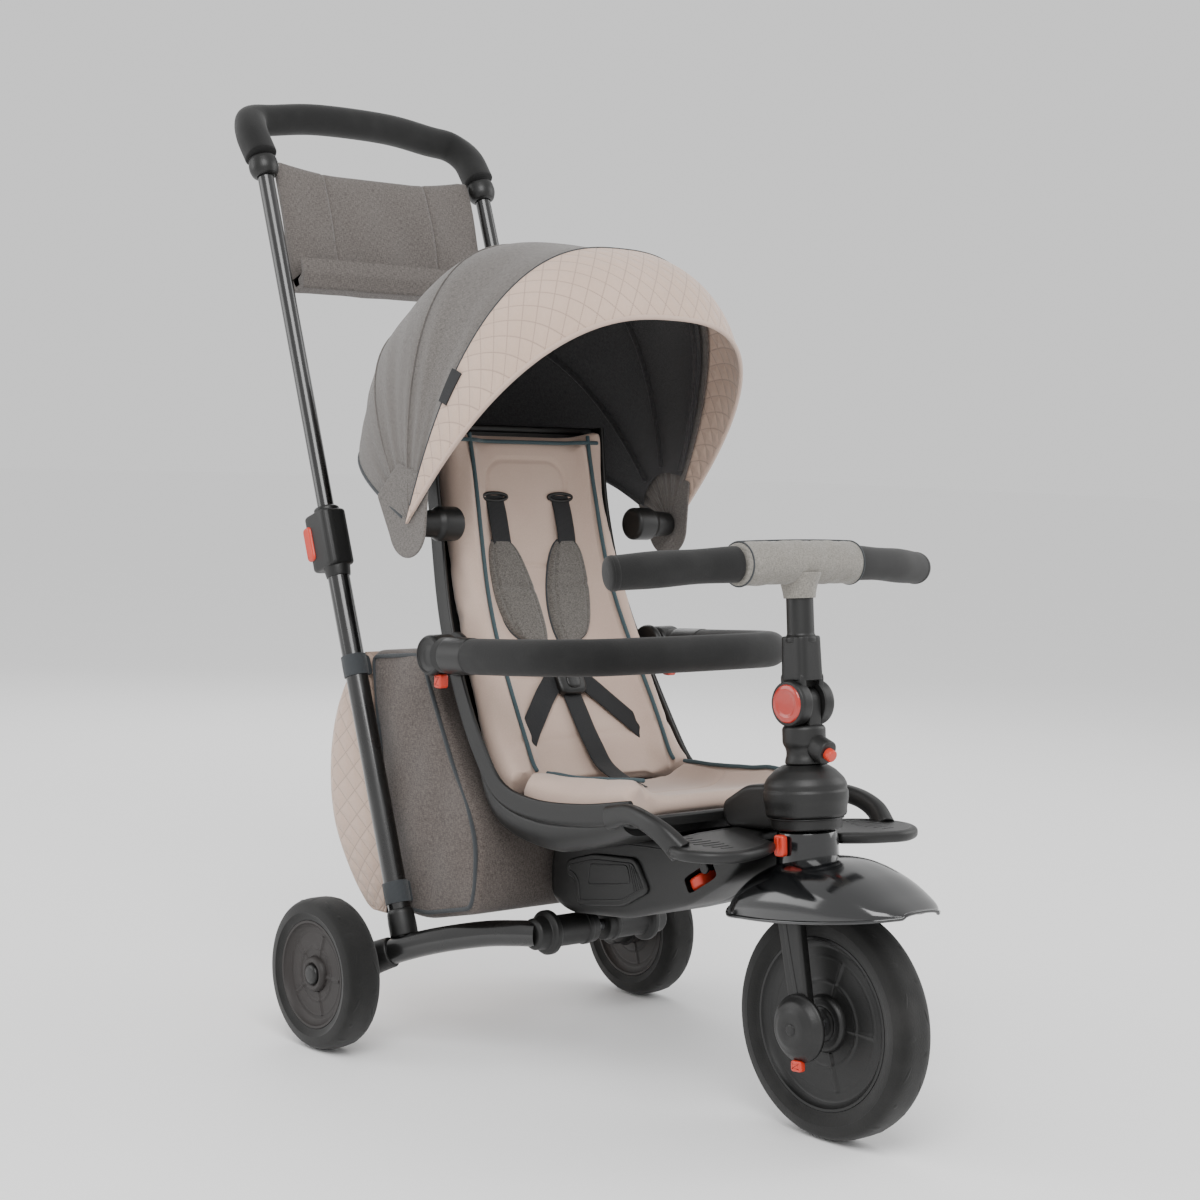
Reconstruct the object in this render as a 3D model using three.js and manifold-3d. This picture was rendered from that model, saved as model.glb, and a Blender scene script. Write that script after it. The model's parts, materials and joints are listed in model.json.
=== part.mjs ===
// A children's tricycle with a parent push handle, a folding frame, a canopy and a storage bag.
// Millimetres. X runs forward, Y to the rider's left, Z up from the ground. Inside the functions
// X is measured from the rear axle; the exported group moves that to the middle of the machine.
import * as THREE from "three";
import { mergeVertices } from "three/addons/utils/BufferGeometryUtils.js";
import Module from "manifold-3d";

const wasm = await Module();
wasm.setup();

// ---------------------------------------------------------------- driving dimensions
const GAP = 0.3; // between pieces that touch or are fixed together
const RUNNING_GAP = 0.6; // between pieces that turn or slide on each other

const WHEELBASE = 547.6;
const REAR_TRACK = 456; // between the middles of the rear tyres
const REAR_WHEEL = { radius: 82.5, width: 42.5, rim: 58.6 };
const FRONT_WHEEL = { radius: 113.5, width: 43, rim: 84.4 };
const WHEEL_SIDES = 24;
const AXLE_RADIUS = 6;

const ARM_RADIUS = 14; // the tube from each rear wheel to the fold hinge
const HINGE_X = 187;
const HINGE_Z = 143;
const HINGE_REACH = 90; // half the length of the fold barrel
const BARREL_RADIUS = 17;
const FOLD_LUG_HALF = 6;
const PIN_RADIUS = 6;

const UPRIGHT_LEAN = THREE.MathUtils.degToRad(20.63);
const UPRIGHT_FOOT_X = 47.8;
const UPRIGHT_FOOT_Z = 136;
const UPRIGHT_HALF_TRACK = 160;
const UPRIGHT_LENGTH = 468;
const UPRIGHT_RADIUS = 12.5;
const UPRIGHT_WALL = 2;
const INNER_TUBE_RADIUS = 9.5;
const INNER_TUBE_START = 250; // along the lean, from the upright's foot
const COLLAR_AT = 905; // where the slim tubes end and the grip begins
const COLLAR_RADIUS = 17;
const GRIP_RADIUS = 19;
const COLLAR_X = UPRIGHT_FOOT_X - Math.sin(UPRIGHT_LEAN) * COLLAR_AT;
const COLLAR_Z = UPRIGHT_FOOT_Z + Math.cos(UPRIGHT_LEAN) * COLLAR_AT;
const GRIP_BACK_X = COLLAR_X - 56.94;
const GRIP_TOP_Z = COLLAR_Z + 59.03; // at its corners
const GRIP_ARCH = 10; // how much higher the middle stands

const SEAT_HALF_WIDTH = 140;
const SEAT_TOP_HALF_WIDTH = 122;
const SHELL_THICKNESS = 8;
const PAD_CENTRE = 18; // thickness of the padding on the middle of the seat
const PAD_BOLSTER = 46; // and on its raised sides
const BOLSTER_WIDTH = 38;

const HOUSING_HALF_WIDTH = 58;
const HEAD_X = 502; // where the steering axis meets the bottom of the head
const HEAD_Z = 300;
const HEAD_HEIGHT = 60;
const RAKE = THREE.MathUtils.degToRad(5.5);
const STEERER_RADIUS = 12;
const LEG_HALF_TRACK = 38;
const LEG_THICKNESS = 12;
const DRUM_AT = 120.5; // up the steering axis, the pivot that folds the handlebar
const DRUM_RADIUS = 23;
const DRUM_HALF_LENGTH = 22.5;
const TONGUE_HALF = 8;
const BAR_AT = 259; // up the steering axis, the handlebar
const BAR_RADIUS = 11;
const BAR_HALF_LENGTH = 211;
const BAR_SWEEP = 37;
const BAR_DROP = 7;
const BAR_GRIP_RADIUS = 18;
const SLEEVE_HALF_LENGTH = 80;
const SLEEVE_RADIUS = 22;

const SAFETY_BAR = { x: 103, z: 438, halfWidth: 163, reach: 225, rise: 16, radius: 19 };
const BAR_STUB_RADIUS = 12;
const BAR_KNUCKLE_RADIUS = 22;

const CANOPY_X = 80; // the axis that the canopy folds about
const CANOPY_Z = 577;
const HOOD = { halfWidth: 188, wall: 2.5, from: 66, to: 156 };
const VISOR = { halfWidth: 191.5, wall: 2.5, from: 48, to: 70 };
const CANOPY_KNOB_RADIUS = 19;
const CANOPY_FLAP_RADIUS = 33; // the rounded foot of the hood, over each knob

const BUTTON_TRAVEL = 3;

// ---------------------------------------------------------------- shape helpers
const at = (x, y, z) => new THREE.Vector3(x, y, z);
const sides = [
  ["left", 1],
  ["right", -1],
];

// A closed geometry as a solid that can be joined and cut.
function solid(geometry) {
  const bare = new THREE.BufferGeometry();
  bare.setAttribute("position", geometry.getAttribute("position"));
  bare.setIndex(geometry.index);
  const merged = mergeVertices(bare, 1e-4);
  const index = merged.index.array;
  const kept = [];
  for (let i = 0; i < index.length; i += 3) {
    const [a, b, c] = index.slice(i, i + 3);
    if (a !== b && b !== c && c !== a) kept.push(a, b, c);
  }
  const vertProperties = merged.attributes.position.array;
  return new wasm.Manifold(
    new wasm.Mesh({ numProp: 3, vertProperties, triVerts: new Uint32Array(kept) }),
  );
}

function geometryOf(made) {
  const mesh = made.getMesh();
  const g = new THREE.BufferGeometry();
  g.setAttribute("position", new THREE.BufferAttribute(mesh.vertProperties, 3));
  g.setIndex(new THREE.BufferAttribute(mesh.triVerts, 1));
  g.computeVertexNormals();
  return g;
}

const join = (first, ...more) =>
  geometryOf(more.reduce((sum, g) => sum.add(solid(g)), solid(first)));
const cut = (first, ...tools) =>
  geometryOf(tools.reduce((rest, g) => rest.subtract(solid(g)), solid(first)));

// A round bar between two points.
function rod(from, to, radius, segments = 12) {
  const along = to.clone().sub(from);
  const g = new THREE.CylinderGeometry(radius, radius, along.length(), segments);
  g.applyQuaternion(
    new THREE.Quaternion().setFromUnitVectors(at(0, 1, 0), along.clone().normalize()),
  );
  return g.translate(...from.clone().add(to).multiplyScalar(0.5));
}

// A round bar along Y between two places.
const crossRod = (x, z, y0, y1, radius, segments = 14) =>
  rod(at(x, y0, z), at(x, y1, z), radius, segments);

const block = (x0, x1, y0, y1, z0, z1) =>
  new THREE.BoxGeometry(x1 - x0, y1 - y0, z1 - z0).translate(
    (x0 + x1) / 2,
    (y0 + y1) / 2,
    (z0 + z1) / 2,
  );

// A tube along a smooth curve through the points.
function tube(points, radius, { steps = 24, segments = 10 } = {}) {
  const shape = new THREE.Shape().absarc(0, 0, radius, 0, 2 * Math.PI);
  return new THREE.ExtrudeGeometry(shape, {
    steps,
    curveSegments: segments / 2,
    extrudePath: new THREE.CatmullRomCurve3(points, false, "centripetal"),
  });
}

// A profile of [radius, height] pairs turned about Y. A ring's profile closes on itself.
const turned = (profile, segments = WHEEL_SIDES) =>
  new THREE.LatheGeometry(
    profile.map(([r, y]) => new THREE.Vector2(r, y)),
    segments,
    Math.PI / segments,
  );
const ring = (profile, segments) => turned([...profile, profile[0]], segments);

// The same, turned about Z.
const turnedUp = (profile, segments) => turned(profile, segments).rotateX(Math.PI / 2);

// An outline whose corners are rounded by up to the given radius.
function rounded(corners, radius) {
  const points = corners.map(([x, y]) => new THREE.Vector2(x, y));
  const shape = new THREE.Shape();
  points.forEach((corner, i) => {
    const before = points.at(i - 1);
    const after = points[(i + 1) % points.length];
    const back = before.clone().sub(corner);
    const on = after.clone().sub(corner);
    const r = Math.min(radius, 0.45 * back.length(), 0.45 * on.length());
    const start = corner.clone().add(back.setLength(r));
    const end = corner.clone().add(on.setLength(r));
    if (i) shape.lineTo(start.x, start.y);
    else shape.moveTo(start.x, start.y);
    shape.quadraticCurveTo(corner.x, corner.y, end.x, end.y);
  });
  shape.closePath();
  return shape;
}

// A side outline in X and Z, as thick as from y0 to y1.
const sidePlate = (shape, y0, y1, curveSegments = 3) =>
  new THREE.ExtrudeGeometry(shape, { depth: y1 - y0, bevelEnabled: false, curveSegments })
    .rotateX(Math.PI / 2)
    .translate(0, y1, 0);

// A plan outline in X and Y, as thick as from z0 to z1.
const floorPlate = (shape, z0, z1, curveSegments = 4) =>
  new THREE.ExtrudeGeometry(shape, { depth: z1 - z0, bevelEnabled: false, curveSegments }).translate(
    0,
    0,
    z0,
  );

// A closed body through sections. Each is a loop of points with the same count.
function loft(sections) {
  const count = sections[0].length;
  const position = sections.flat().flatMap((p) => [p.x, p.y, p.z]);
  const index = [];
  for (let s = 0; s + 1 < sections.length; s++) {
    for (let i = 0; i < count; i++) {
      const j = (i + 1) % count;
      const [a, b] = [s * count + i, s * count + j];
      index.push(a, b, b + count, a, b + count, a + count);
    }
  }
  for (const s of [0, sections.length - 1]) {
    const loop = sections[s];
    const [u, w] = planeOf(loop);
    const flat = loop.map((p) => new THREE.Vector2(p.dot(u), p.dot(w)));
    for (const [a, b, c] of THREE.ShapeUtils.triangulateShape(flat, [])) {
      const face = s ? [a, b, c] : [a, c, b];
      index.push(...face.map((k) => k + s * count));
    }
  }
  const g = new THREE.BufferGeometry();
  g.setAttribute("position", new THREE.Float32BufferAttribute(position, 3));
  g.setIndex(index);
  return facingOut(g);
}

// Two directions that span the plane of a loop, the second turned from the first by its normal.
function planeOf(loop) {
  const normal = at(0, 0, 0);
  loop.forEach((p, i) => normal.add(p.clone().cross(loop[(i + 1) % loop.length])));
  normal.normalize();
  const u = loop[1].clone().sub(loop[0]).projectOnPlane(normal).normalize();
  return [u, normal.cross(u)];
}

// Turns a closed mesh's faces outwards if its signed volume is negative.
function facingOut(g) {
  const p = g.getAttribute("position");
  const index = g.index.array;
  const [a, b, c] = [at(0, 0, 0), at(0, 0, 0), at(0, 0, 0)];
  let volume = 0;
  for (let i = 0; i < index.length; i += 3) {
    a.fromBufferAttribute(p, index[i]);
    b.fromBufferAttribute(p, index[i + 1]);
    c.fromBufferAttribute(p, index[i + 2]);
    volume += a.dot(b.cross(c));
  }
  if (volume < 0) index.reverse();
  return g;
}

// ---------------------------------------------------------------- the scene graph
const tricycle = new THREE.Group();
const frontMost = WHEELBASE + FRONT_WHEEL.radius;
const rearMost = GRIP_BACK_X - GRIP_RADIUS;
tricycle.position.x = -(frontMost + rearMost) / 2;

function group(parent, place = at(0, 0, 0), turn = 0) {
  const g = new THREE.Group();
  g.position.copy(place);
  g.rotation.y = turn;
  parent.add(g);
  return g;
}

function add(parent, name, geometry, [color, roughness, metalness = 0]) {
  const material = new THREE.MeshStandardMaterial({ color, roughness, metalness });
  const mesh = new THREE.Mesh(geometry, material);
  mesh.name = name;
  parent.add(mesh);
  return mesh;
}

const GLOSS_BLACK = [0x17181a, 0.22];
const SATIN_BLACK = [0x232426, 0.45];
const TUBE_BLACK = [0x141416, 0.25, 0.4];
const FOAM = [0x202123, 0.85];
const TYRE = [0x29292a, 0.8];
const RIM = [0x3a3536, 0.6];
const RED = [0xd8432f, 0.45];
const GREY_CLOTH = [0x7d7a7a, 0.95];
const DARK_CLOTH = [0x625c5a, 0.95];
const BEIGE_CLOTH = [0xcbb7a8, 0.9];
const STEEL = [0x9a9c9f, 0.3, 1];

// ---------------------------------------------------------------- wheels
// The facets are as far from the axle as the radius says, with one facing straight down.
function wheel(parent, name, { radius, width, rim }, hubHalf, hubRadius) {
  const stretch = 1 / Math.cos(Math.PI / WHEEL_SIDES);
  const half = width / 2;
  const R = radius * stretch;
  const seat = rim * stretch;
  const tyre = ring([
    [seat + GAP, -half + 1.5],
    [R - 13, -half],
    [R - 3, -half + 3],
    [R, -half + 10],
    [R, half - 10],
    [R - 3, half - 3],
    [R - 13, half],
    [seat + GAP, half - 1.5],
  ]);
  const bore = AXLE_RADIUS + RUNNING_GAP;
  const body = ring([
    [bore, -hubHalf],
    [hubRadius, -hubHalf],
    [hubRadius, -5],
    [seat - 8, -5],
    [seat, 3 - half],
    [seat, half - 3],
    [seat - 8, 5],
    [hubRadius, 5],
    [hubRadius, hubHalf],
    [bore, hubHalf],
  ]);
  add(parent, `${name}_tyre`, tyre, TYRE);
  add(parent, `${name}_rim`, body, RIM);
}

function rearWheels() {
  for (const [side, s] of sides) {
    const place = group(tricycle, at(0, (s * REAR_TRACK) / 2, REAR_WHEEL.radius));
    wheel(place, `rear_wheel_${side}`, REAR_WHEEL, REAR_WHEEL.width / 2 - 3, 18);
  }
}

// ---------------------------------------------------------------- rear frame
const armEnd = REAR_TRACK / 2 - REAR_WHEEL.width / 2 - 2; // the arm's boss, beside the wheel
const armRoute = (s) =>
  [
    [8, armEnd - 14, REAR_WHEEL.radius + 3],
    [38, 179, 103],
    [85, 150, 123],
    [135, 117, 137],
    [170, 96, HINGE_Z - 1],
    [HINGE_X, HINGE_REACH - 6, HINGE_Z],
  ].map(([x, y, z]) => at(x, s * y, z));

function rearArm(s) {
  const boss = crossRod(0, REAR_WHEEL.radius, s * (armEnd - 26), s * armEnd, ARM_RADIUS + 3);
  const inner = FOLD_LUG_HALF + RUNNING_GAP;
  const barrel = crossRod(HINGE_X, HINGE_Z, s * inner, s * HINGE_REACH, BARREL_RADIUS);
  const flange = crossRod(HINGE_X, HINGE_Z, s * 64, s * 74, BARREL_RADIUS + 7);
  const arm = join(tube(armRoute(s), ARM_RADIUS, { steps: 12 }), boss, barrel, flange);
  const pinHole = crossRod(HINGE_X, HINGE_Z, -s, s * (HINGE_REACH - 10), PIN_RADIUS + GAP);
  const axleHole = crossRod(0, REAR_WHEEL.radius, s * (armEnd - 12), s * (armEnd + 1), AXLE_RADIUS + GAP);
  return cut(arm, pinHole, axleHole);
}

function rearFrame() {
  for (const [side, s] of sides) {
    add(tricycle, `rear_arm_${side}`, rearArm(s), TUBE_BLACK);
    const axleIn = armEnd - 12 + GAP;
    const axleOut = REAR_TRACK / 2 + REAR_WHEEL.width / 2 - 4;
    const axle = crossRod(0, REAR_WHEEL.radius, s * axleIn, s * axleOut, AXLE_RADIUS, 12);
    add(tricycle, `rear_axle_${side}`, axle, STEEL);
  }
  const reach = HINGE_REACH - 10 - GAP;
  add(tricycle, "fold_pin", crossRod(HINGE_X, HINGE_Z, -reach, reach, PIN_RADIUS, 14), STEEL);
}

// ---------------------------------------------------------------- uprights and push handle
// Everything here is measured up the leaning tubes from the foot of the uprights.
const lean = group(tricycle, at(UPRIGHT_FOOT_X, 0, UPRIGHT_FOOT_Z), -UPRIGHT_LEAN);
const LATCH = { length: 66, front: 17, back: 28, halfWidth: 17, buttonHalf: 20 };

const upTube = (s, from, to, radius, segments = 12) =>
  rod(at(0, s * UPRIGHT_HALF_TRACK, from), at(0, s * UPRIGHT_HALF_TRACK, to), radius, segments);

// The route of an arm, seen from the leaning group, for the cut at the foot of each upright.
function armInLean(s, radius) {
  const g = tube(armRoute(s), radius, { steps: 12 });
  return g.translate(-UPRIGHT_FOOT_X, 0, -UPRIGHT_FOOT_Z).rotateY(UPRIGHT_LEAN);
}

function upright(s) {
  const outer = upTube(s, -22, UPRIGHT_LENGTH, UPRIGHT_RADIUS);
  const bore = upTube(s, 30, UPRIGHT_LENGTH + 1, UPRIGHT_RADIUS - UPRIGHT_WALL);
  return cut(outer, bore, armInLean(s, ARM_RADIUS + GAP));
}

function latchHousing(s) {
  const y = s * UPRIGHT_HALF_TRACK;
  const top = UPRIGHT_LENGTH + 8;
  const bottom = top - LATCH.length;
  const w = LATCH.halfWidth;
  const outline = rounded(
    [
      [-LATCH.back, y - w],
      [LATCH.front, y - w],
      [LATCH.front, y + w],
      [-LATCH.back, y + w],
    ],
    10,
  );
  const middle = (top + bottom) / 2;
  const side = s > 0 ? [y + 6, y + w + 1] : [y - w - 1, y - 6];
  const reach = LATCH.buttonHalf + 1;
  return cut(
    floorPlate(outline, bottom, top, 3),
    upTube(s, bottom - 1, UPRIGHT_LENGTH + GAP, UPRIGHT_RADIUS + GAP),
    upTube(s, bottom, top + 1, INNER_TUBE_RADIUS + RUNNING_GAP),
    block(-LATCH.back - 1, -12, ...side, middle - reach, middle + reach),
  );
}

// The button fills the outer back corner of its housing and is pressed in towards the tube.
function latchButton(s) {
  const y = s * UPRIGHT_HALF_TRACK;
  const middle = UPRIGHT_LENGTH + 8 - LATCH.length / 2;
  const [inner, outer] = [7 + BUTTON_TRAVEL, LATCH.halfWidth + 3];
  const shape = rounded(
    [
      [-LATCH.back + 0.5, middle - LATCH.buttonHalf],
      [-12.6, middle - LATCH.buttonHalf],
      [-12.6, middle + LATCH.buttonHalf],
      [-LATCH.back + 0.5, middle + LATCH.buttonHalf],
    ],
    5,
  );
  return sidePlate(shape, ...(s > 0 ? [y + inner, y + outer] : [y - outer, y - inner]), 2);
}

function uprights() {
  for (const [side, s] of sides) {
    add(lean, `upright_tube_${side}`, upright(s), TUBE_BLACK);
    add(lean, `latch_housing_${side}`, latchHousing(s), SATIN_BLACK);
    add(lean, `latch_button_${side}`, latchButton(s), RED);
  }
}

// The foam grip bends back from the collars and runs across behind them.
const gripRoute = () => {
  const half = UPRIGHT_HALF_TRACK;
  const place = (x, y, z) =>
    at(x - UPRIGHT_FOOT_X, y, z - UPRIGHT_FOOT_Z).applyAxisAngle(at(0, 1, 0), UPRIGHT_LEAN);
  const quarter = [
    [COLLAR_X - 6, half, COLLAR_Z + 11],
    [COLLAR_X - 29, half - 1, GRIP_TOP_Z - 20],
    [GRIP_BACK_X + 7, half - 14, GRIP_TOP_Z - 3],
    [GRIP_BACK_X + 1, half - 44, GRIP_TOP_Z + 2],
    [GRIP_BACK_X, half - 110, GRIP_TOP_Z + GRIP_ARCH],
  ];
  const other = quarter.map(([x, y, z]) => [x, -y, z]).reverse();
  return [...quarter, ...other].map((p) => place(...p));
};

function pushHandle() {
  for (const [side, s] of sides) {
    const stem = upTube(s, INNER_TUBE_START, COLLAR_AT - 14, INNER_TUBE_RADIUS);
    add(lean, `handle_tube_${side}`, stem, TUBE_BLACK);
    const collar = turnedUp(
      [
        [0, -14 + GAP],
        [12, -14 + GAP],
        [15, -8],
        [COLLAR_RADIUS, 0],
        [COLLAR_RADIUS - 1, 7],
        [12, 10],
        [0, 10],
      ],
      16,
    ).translate(0, s * UPRIGHT_HALF_TRACK, COLLAR_AT);
    const clear = tube(gripRoute(), GRIP_RADIUS + GAP, { steps: 26, segments: 10 });
    add(lean, `handle_collar_${side}`, cut(collar, clear), SATIN_BLACK);
  }
  add(lean, "handle_grip", tube(gripRoute(), GRIP_RADIUS, { steps: 26, segments: 10 }), FOAM);
}

// The flat bag between the handle tubes: its top dips in the middle and its foot is a folded pocket.
function handleBag() {
  const half = UPRIGHT_HALF_TRACK - COLLAR_RADIUS - 1.5;
  const [foot, fold, dip, top] = [-159, -119, -1, 9].map((z) => COLLAR_AT + z);
  const sections = [-1, -0.5, 0, 0.5, 1].map((u) => {
    const y = u * half;
    const rim = dip + (top - dip) * u * u;
    return [
      [-6, rim],
      [-9, fold + 20],
      [-14, fold - 10],
      [-13, foot + 4],
      [-6, foot],
      [8, foot],
      [15, foot + 6],
      [16, fold - 6],
      [8, fold + 4],
      [6, rim],
    ].map(([x, z]) => at(x, y, z));
  });
  add(lean, "handle_bag", loft(sections), GREY_CLOTH);
}

// ---------------------------------------------------------------- storage bag
const BAG_HALF = UPRIGHT_HALF_TRACK - UPRIGHT_RADIUS - 3;

function storageBag() {
  const profile = rounded(
    [
      [-56, 428],
      [48, 440],
      [68, 400],
      [112, 322],
      [140, 285],
      [158, 240],
      [158, 190],
      [150, 163],
      [60, 142],
      [-6, 146],
    ],
    18,
  );
  add(tricycle, "storage_bag", sidePlate(profile, -BAG_HALF, BAG_HALF), DARK_CLOTH);
}

// The quilted pocket behind the bag, a rounded belly that is widest in its middle.
function bagPocket() {
  const belly = [
    [-64, 426],
    [-104, 404],
    [-144, 350],
    [-160, 285],
    [-146, 222],
    [-92, 160],
    [-44, 134],
    [-9, 150 + 2],
  ];
  const back = [
    [-58, 426],
    [-7.5, 153],
  ];
  const sections = [-1, -0.86, 0.86, 1].map((u) => {
    const depth = Math.abs(u) === 1 ? 0.72 : 1;
    return belly.map(([x, z]) => {
      const t = (back[0][1] - z) / (back[0][1] - back[1][1]);
      const wall = back[0][0] + t * (back[1][0] - back[0][0]) - 1.5;
      return at(Math.min(wall + depth * (x - wall), wall - 1), u * (BAG_HALF - 2), z);
    });
  });
  const closed = sections.map((loop) => {
    const y = loop[0].y;
    return [...loop, at(-9, y, 156), at(-59.5, y, 424)];
  });
  add(tricycle, "bag_pocket", loft(closed), BEIGE_CLOTH);
}

// ---------------------------------------------------------------- seat
// The inner face of the bare shell from the top of the back to the front of the seat. Sections
// stand square to it: across is Y, and out is towards the child.
const seatLine = new THREE.CatmullRomCurve3(
  [
    [10, 684],
    [22, 600],
    [49, 500],
    [85, 422],
    [138, 338],
    [180, 294],
    [240, 281],
    [320, 286],
    [398, 300],
  ].map(([x, z]) => at(x, 0, z)),
  false,
  "centripetal",
);
const seatHalf = (t) => {
  const widen = THREE.MathUtils.smoothstep(t, 0.1, 0.5);
  return SEAT_TOP_HALF_WIDTH + widen * (SEAT_HALF_WIDTH - SEAT_TOP_HALF_WIDTH);
};

// A point over the seat line: t along it, y across, out towards the child.
function overSeat(t, y, out) {
  const along = seatLine.getTangent(t);
  return seatLine.getPoint(t).add(at(-along.z, 0, along.x).multiplyScalar(out)).setY(y);
}
const seatSections = (from, to, count, outline) =>
  Array.from({ length: count + 1 }, (_, i) => {
    const t = from + ((to - from) * i) / count;
    return outline(seatHalf(t), t).map(([y, out]) => overSeat(t, y, out));
  });
const mirrored = (half) => [...half, ...half.map(([y, out]) => [-y, out]).reverse()];

function seat(parent) {
  const shell = seatSections(0, 1, 22, (w) =>
    mirrored([
      [w - 6, 0],
      [w - 5, 20],
      [w, 20],
      [w, -2],
      [w - 14, -SHELL_THICKNESS],
    ]),
  );
  const stubs = sides.map(([, s]) => {
    const { x, z, halfWidth } = SAFETY_BAR;
    return crossRod(x, z, s * (SEAT_HALF_WIDTH - 6), s * (halfWidth + 9), BAR_STUB_RADIUS);
  });
  add(parent, "seat_shell", join(loft(shell), ...stubs), SATIN_BLACK);
  const pad = (w) =>
    mirrored([
      [w - BOLSTER_WIDTH - 22, PAD_CENTRE],
      [w - BOLSTER_WIDTH, PAD_BOLSTER - 4],
      [w - 14, PAD_BOLSTER],
      [w - 7, PAD_BOLSTER - 8],
      [w - 7, 6],
      [w - 12, 1],
    ]);
  const split = 0.66;
  add(parent, "seat_pad_back", loft(seatSections(0.002, split - 0.004, 14, pad)), BEIGE_CLOTH);
  add(parent, "seat_pad_base", loft(seatSections(split + 0.004, 0.985, 7, pad)), BEIGE_CLOTH);
}

// ---------------------------------------------------------------- harness
function harness(parent) {
  for (const [side, s] of sides) {
    const strap = Array.from({ length: 6 }, (_, i) => {
      const t = 0.2 + 0.045 * i;
      const middle = s * (46 - 5 * i);
      const half = 17 + 2.5 * i;
      return [
        [middle - half, PAD_CENTRE + 2],
        [middle + half, PAD_CENTRE + 2],
        [middle + half, PAD_CENTRE + 12],
        [middle - half, PAD_CENTRE + 12],
      ].map(([y, out]) => overSeat(t, THREE.MathUtils.clamp(s * y, 1, 60) * s, out));
    });
    add(parent, `harness_pad_${side}`, loft(strap), GREY_CLOTH);
  }
  const buckle = [0.455, 0.5].map((t) =>
    [
      [-20, PAD_CENTRE + 4],
      [20, PAD_CENTRE + 4],
      [20, PAD_CENTRE + 16],
      [-20, PAD_CENTRE + 16],
    ].map(([y, out]) => overSeat(t, y, out)),
  );
  add(parent, "harness_buckle", loft(buckle), SATIN_BLACK);
}

// ---------------------------------------------------------------- body housing
const FOLD_HANDLE = { x: 413, z: 239, length: 56, height: 20, tilt: 0.553 };

// A rounded bar across the housing at the fold handle's slot, that slants as the slot does.
function slanted(length, height, shift, y0, y1) {
  const shape = rounded(
    [
      [-length / 2, -height / 2],
      [length / 2, -height / 2],
      [length / 2, height / 2],
      [-length / 2, height / 2],
    ],
    height / 2,
  );
  return sidePlate(shape, y0, y1)
    .translate(shift, 0, 0)
    .rotateY(-FOLD_HANDLE.tilt)
    .translate(FOLD_HANDLE.x, 0, FOLD_HANDLE.z);
}

function housingHalf(s) {
  const outline = rounded(
    [
      [183, 262],
      [172, 216],
      [174, 178],
      [205, 166],
      [300, 176],
      [392, 206],
      [452, 243],
      [472, 268],
      [470, 274.5],
      [398, 274.5],
      [330, 268],
      [250, 264],
    ],
    14,
  );
  const deep = s > 0 ? [GAP / 2, HOUSING_HALF_WIDTH] : [-HOUSING_HALF_WIDTH, -GAP / 2];
  const halfLug = s > 0 ? [GAP / 2, FOLD_LUG_HALF] : [-FOLD_LUG_HALF, -GAP / 2];
  const lug = join(
    crossRod(HINGE_X, HINGE_Z, ...halfLug, BARREL_RADIUS + 3),
    block(HINGE_X - 10, HINGE_X + 24, ...halfLug, HINGE_Z, 180),
  );
  const body = sidePlate(outline, ...deep);
  const barrelRoom = crossRod(HINGE_X, HINGE_Z, -100, 100, BARREL_RADIUS + RUNNING_GAP, 24);
  const flangeRoom = crossRod(HINGE_X, HINGE_Z, s * 56, s * 80, BARREL_RADIUS + 9, 24);
  const pinHole = crossRod(HINGE_X, HINGE_Z, -FOLD_LUG_HALF - 1, FOLD_LUG_HALF + 1, PIN_RADIUS + GAP);
  const slot = slanted(FOLD_HANDLE.length, FOLD_HANDLE.height, 0, -70, 70);
  const seatRoom = loft(
    seatSections(0.6, 1, 10, (w) => mirrored([[w, 12], [w, -SHELL_THICKNESS - GAP]])),
  );
  return cut(join(cut(body, barrelRoom, flangeRoom), lug), pinHole, slot, seatRoom);
}

function sideCover(s) {
  const shape = rounded(
    [
      [206, 208],
      [222, 206],
      [226, 178],
      [300, 190],
      [340, 212],
      [318, 244],
      [250, 238],
      [224, 230],
      [206, 224],
    ],
    9,
  );
  const near = HOUSING_HALF_WIDTH + GAP;
  const across = s > 0 ? [near, near + 4] : [-near - 4, -near];
  return sidePlate(shape, ...across);
}

function housing(parent) {
  for (const [side, s] of sides) {
    add(parent, `housing_${side}`, housingHalf(s), SATIN_BLACK);
    add(parent, `side_cover_${side}`, sideCover(s), SATIN_BLACK);
  }
  const half = HOUSING_HALF_WIDTH - 4;
  const paddle = slanted(26, FOLD_HANDLE.height - 2 * RUNNING_GAP, -14, -half, half);
  add(parent, "fold_handle", paddle, RED);
}

// ---------------------------------------------------------------- footrest and steering head
const FOOTREST_TOP = 289;
const FOOTREST_BOTTOM = 277;

function footrest() {
  const half = [
    [420, 24],
    [426, 84],
    [446, 132],
    [470, 156],
    [496, 160],
    [520, 146],
    [533, 116],
    [522, 74],
    [506, 46],
  ];
  const outline = rounded([...half, ...half.map(([x, y]) => [x, -y]).reverse()], 16);
  const arms = sides.map(([, s]) =>
    tube(
      [
        at(408, s * 149, 330),
        at(430, s * 151, 318),
        at(456, s * 148, 298),
        at(474, s * 142, 283),
      ],
      8,
      { steps: 5, segments: 6 },
    ),
  );
  const plate = join(floorPlate(outline, FOOTREST_BOTTOM, FOOTREST_TOP), ...arms);
  const neckRoom = rod(at(HEAD_X, 0, 270), at(HEAD_X, 0, 296), 44, 24);
  return cut(plate, neckRoom);
}

// The steering axis rises and leans back from the bottom of the head.
const steeringPlace = at(HEAD_X, 0, HEAD_Z);

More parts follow.
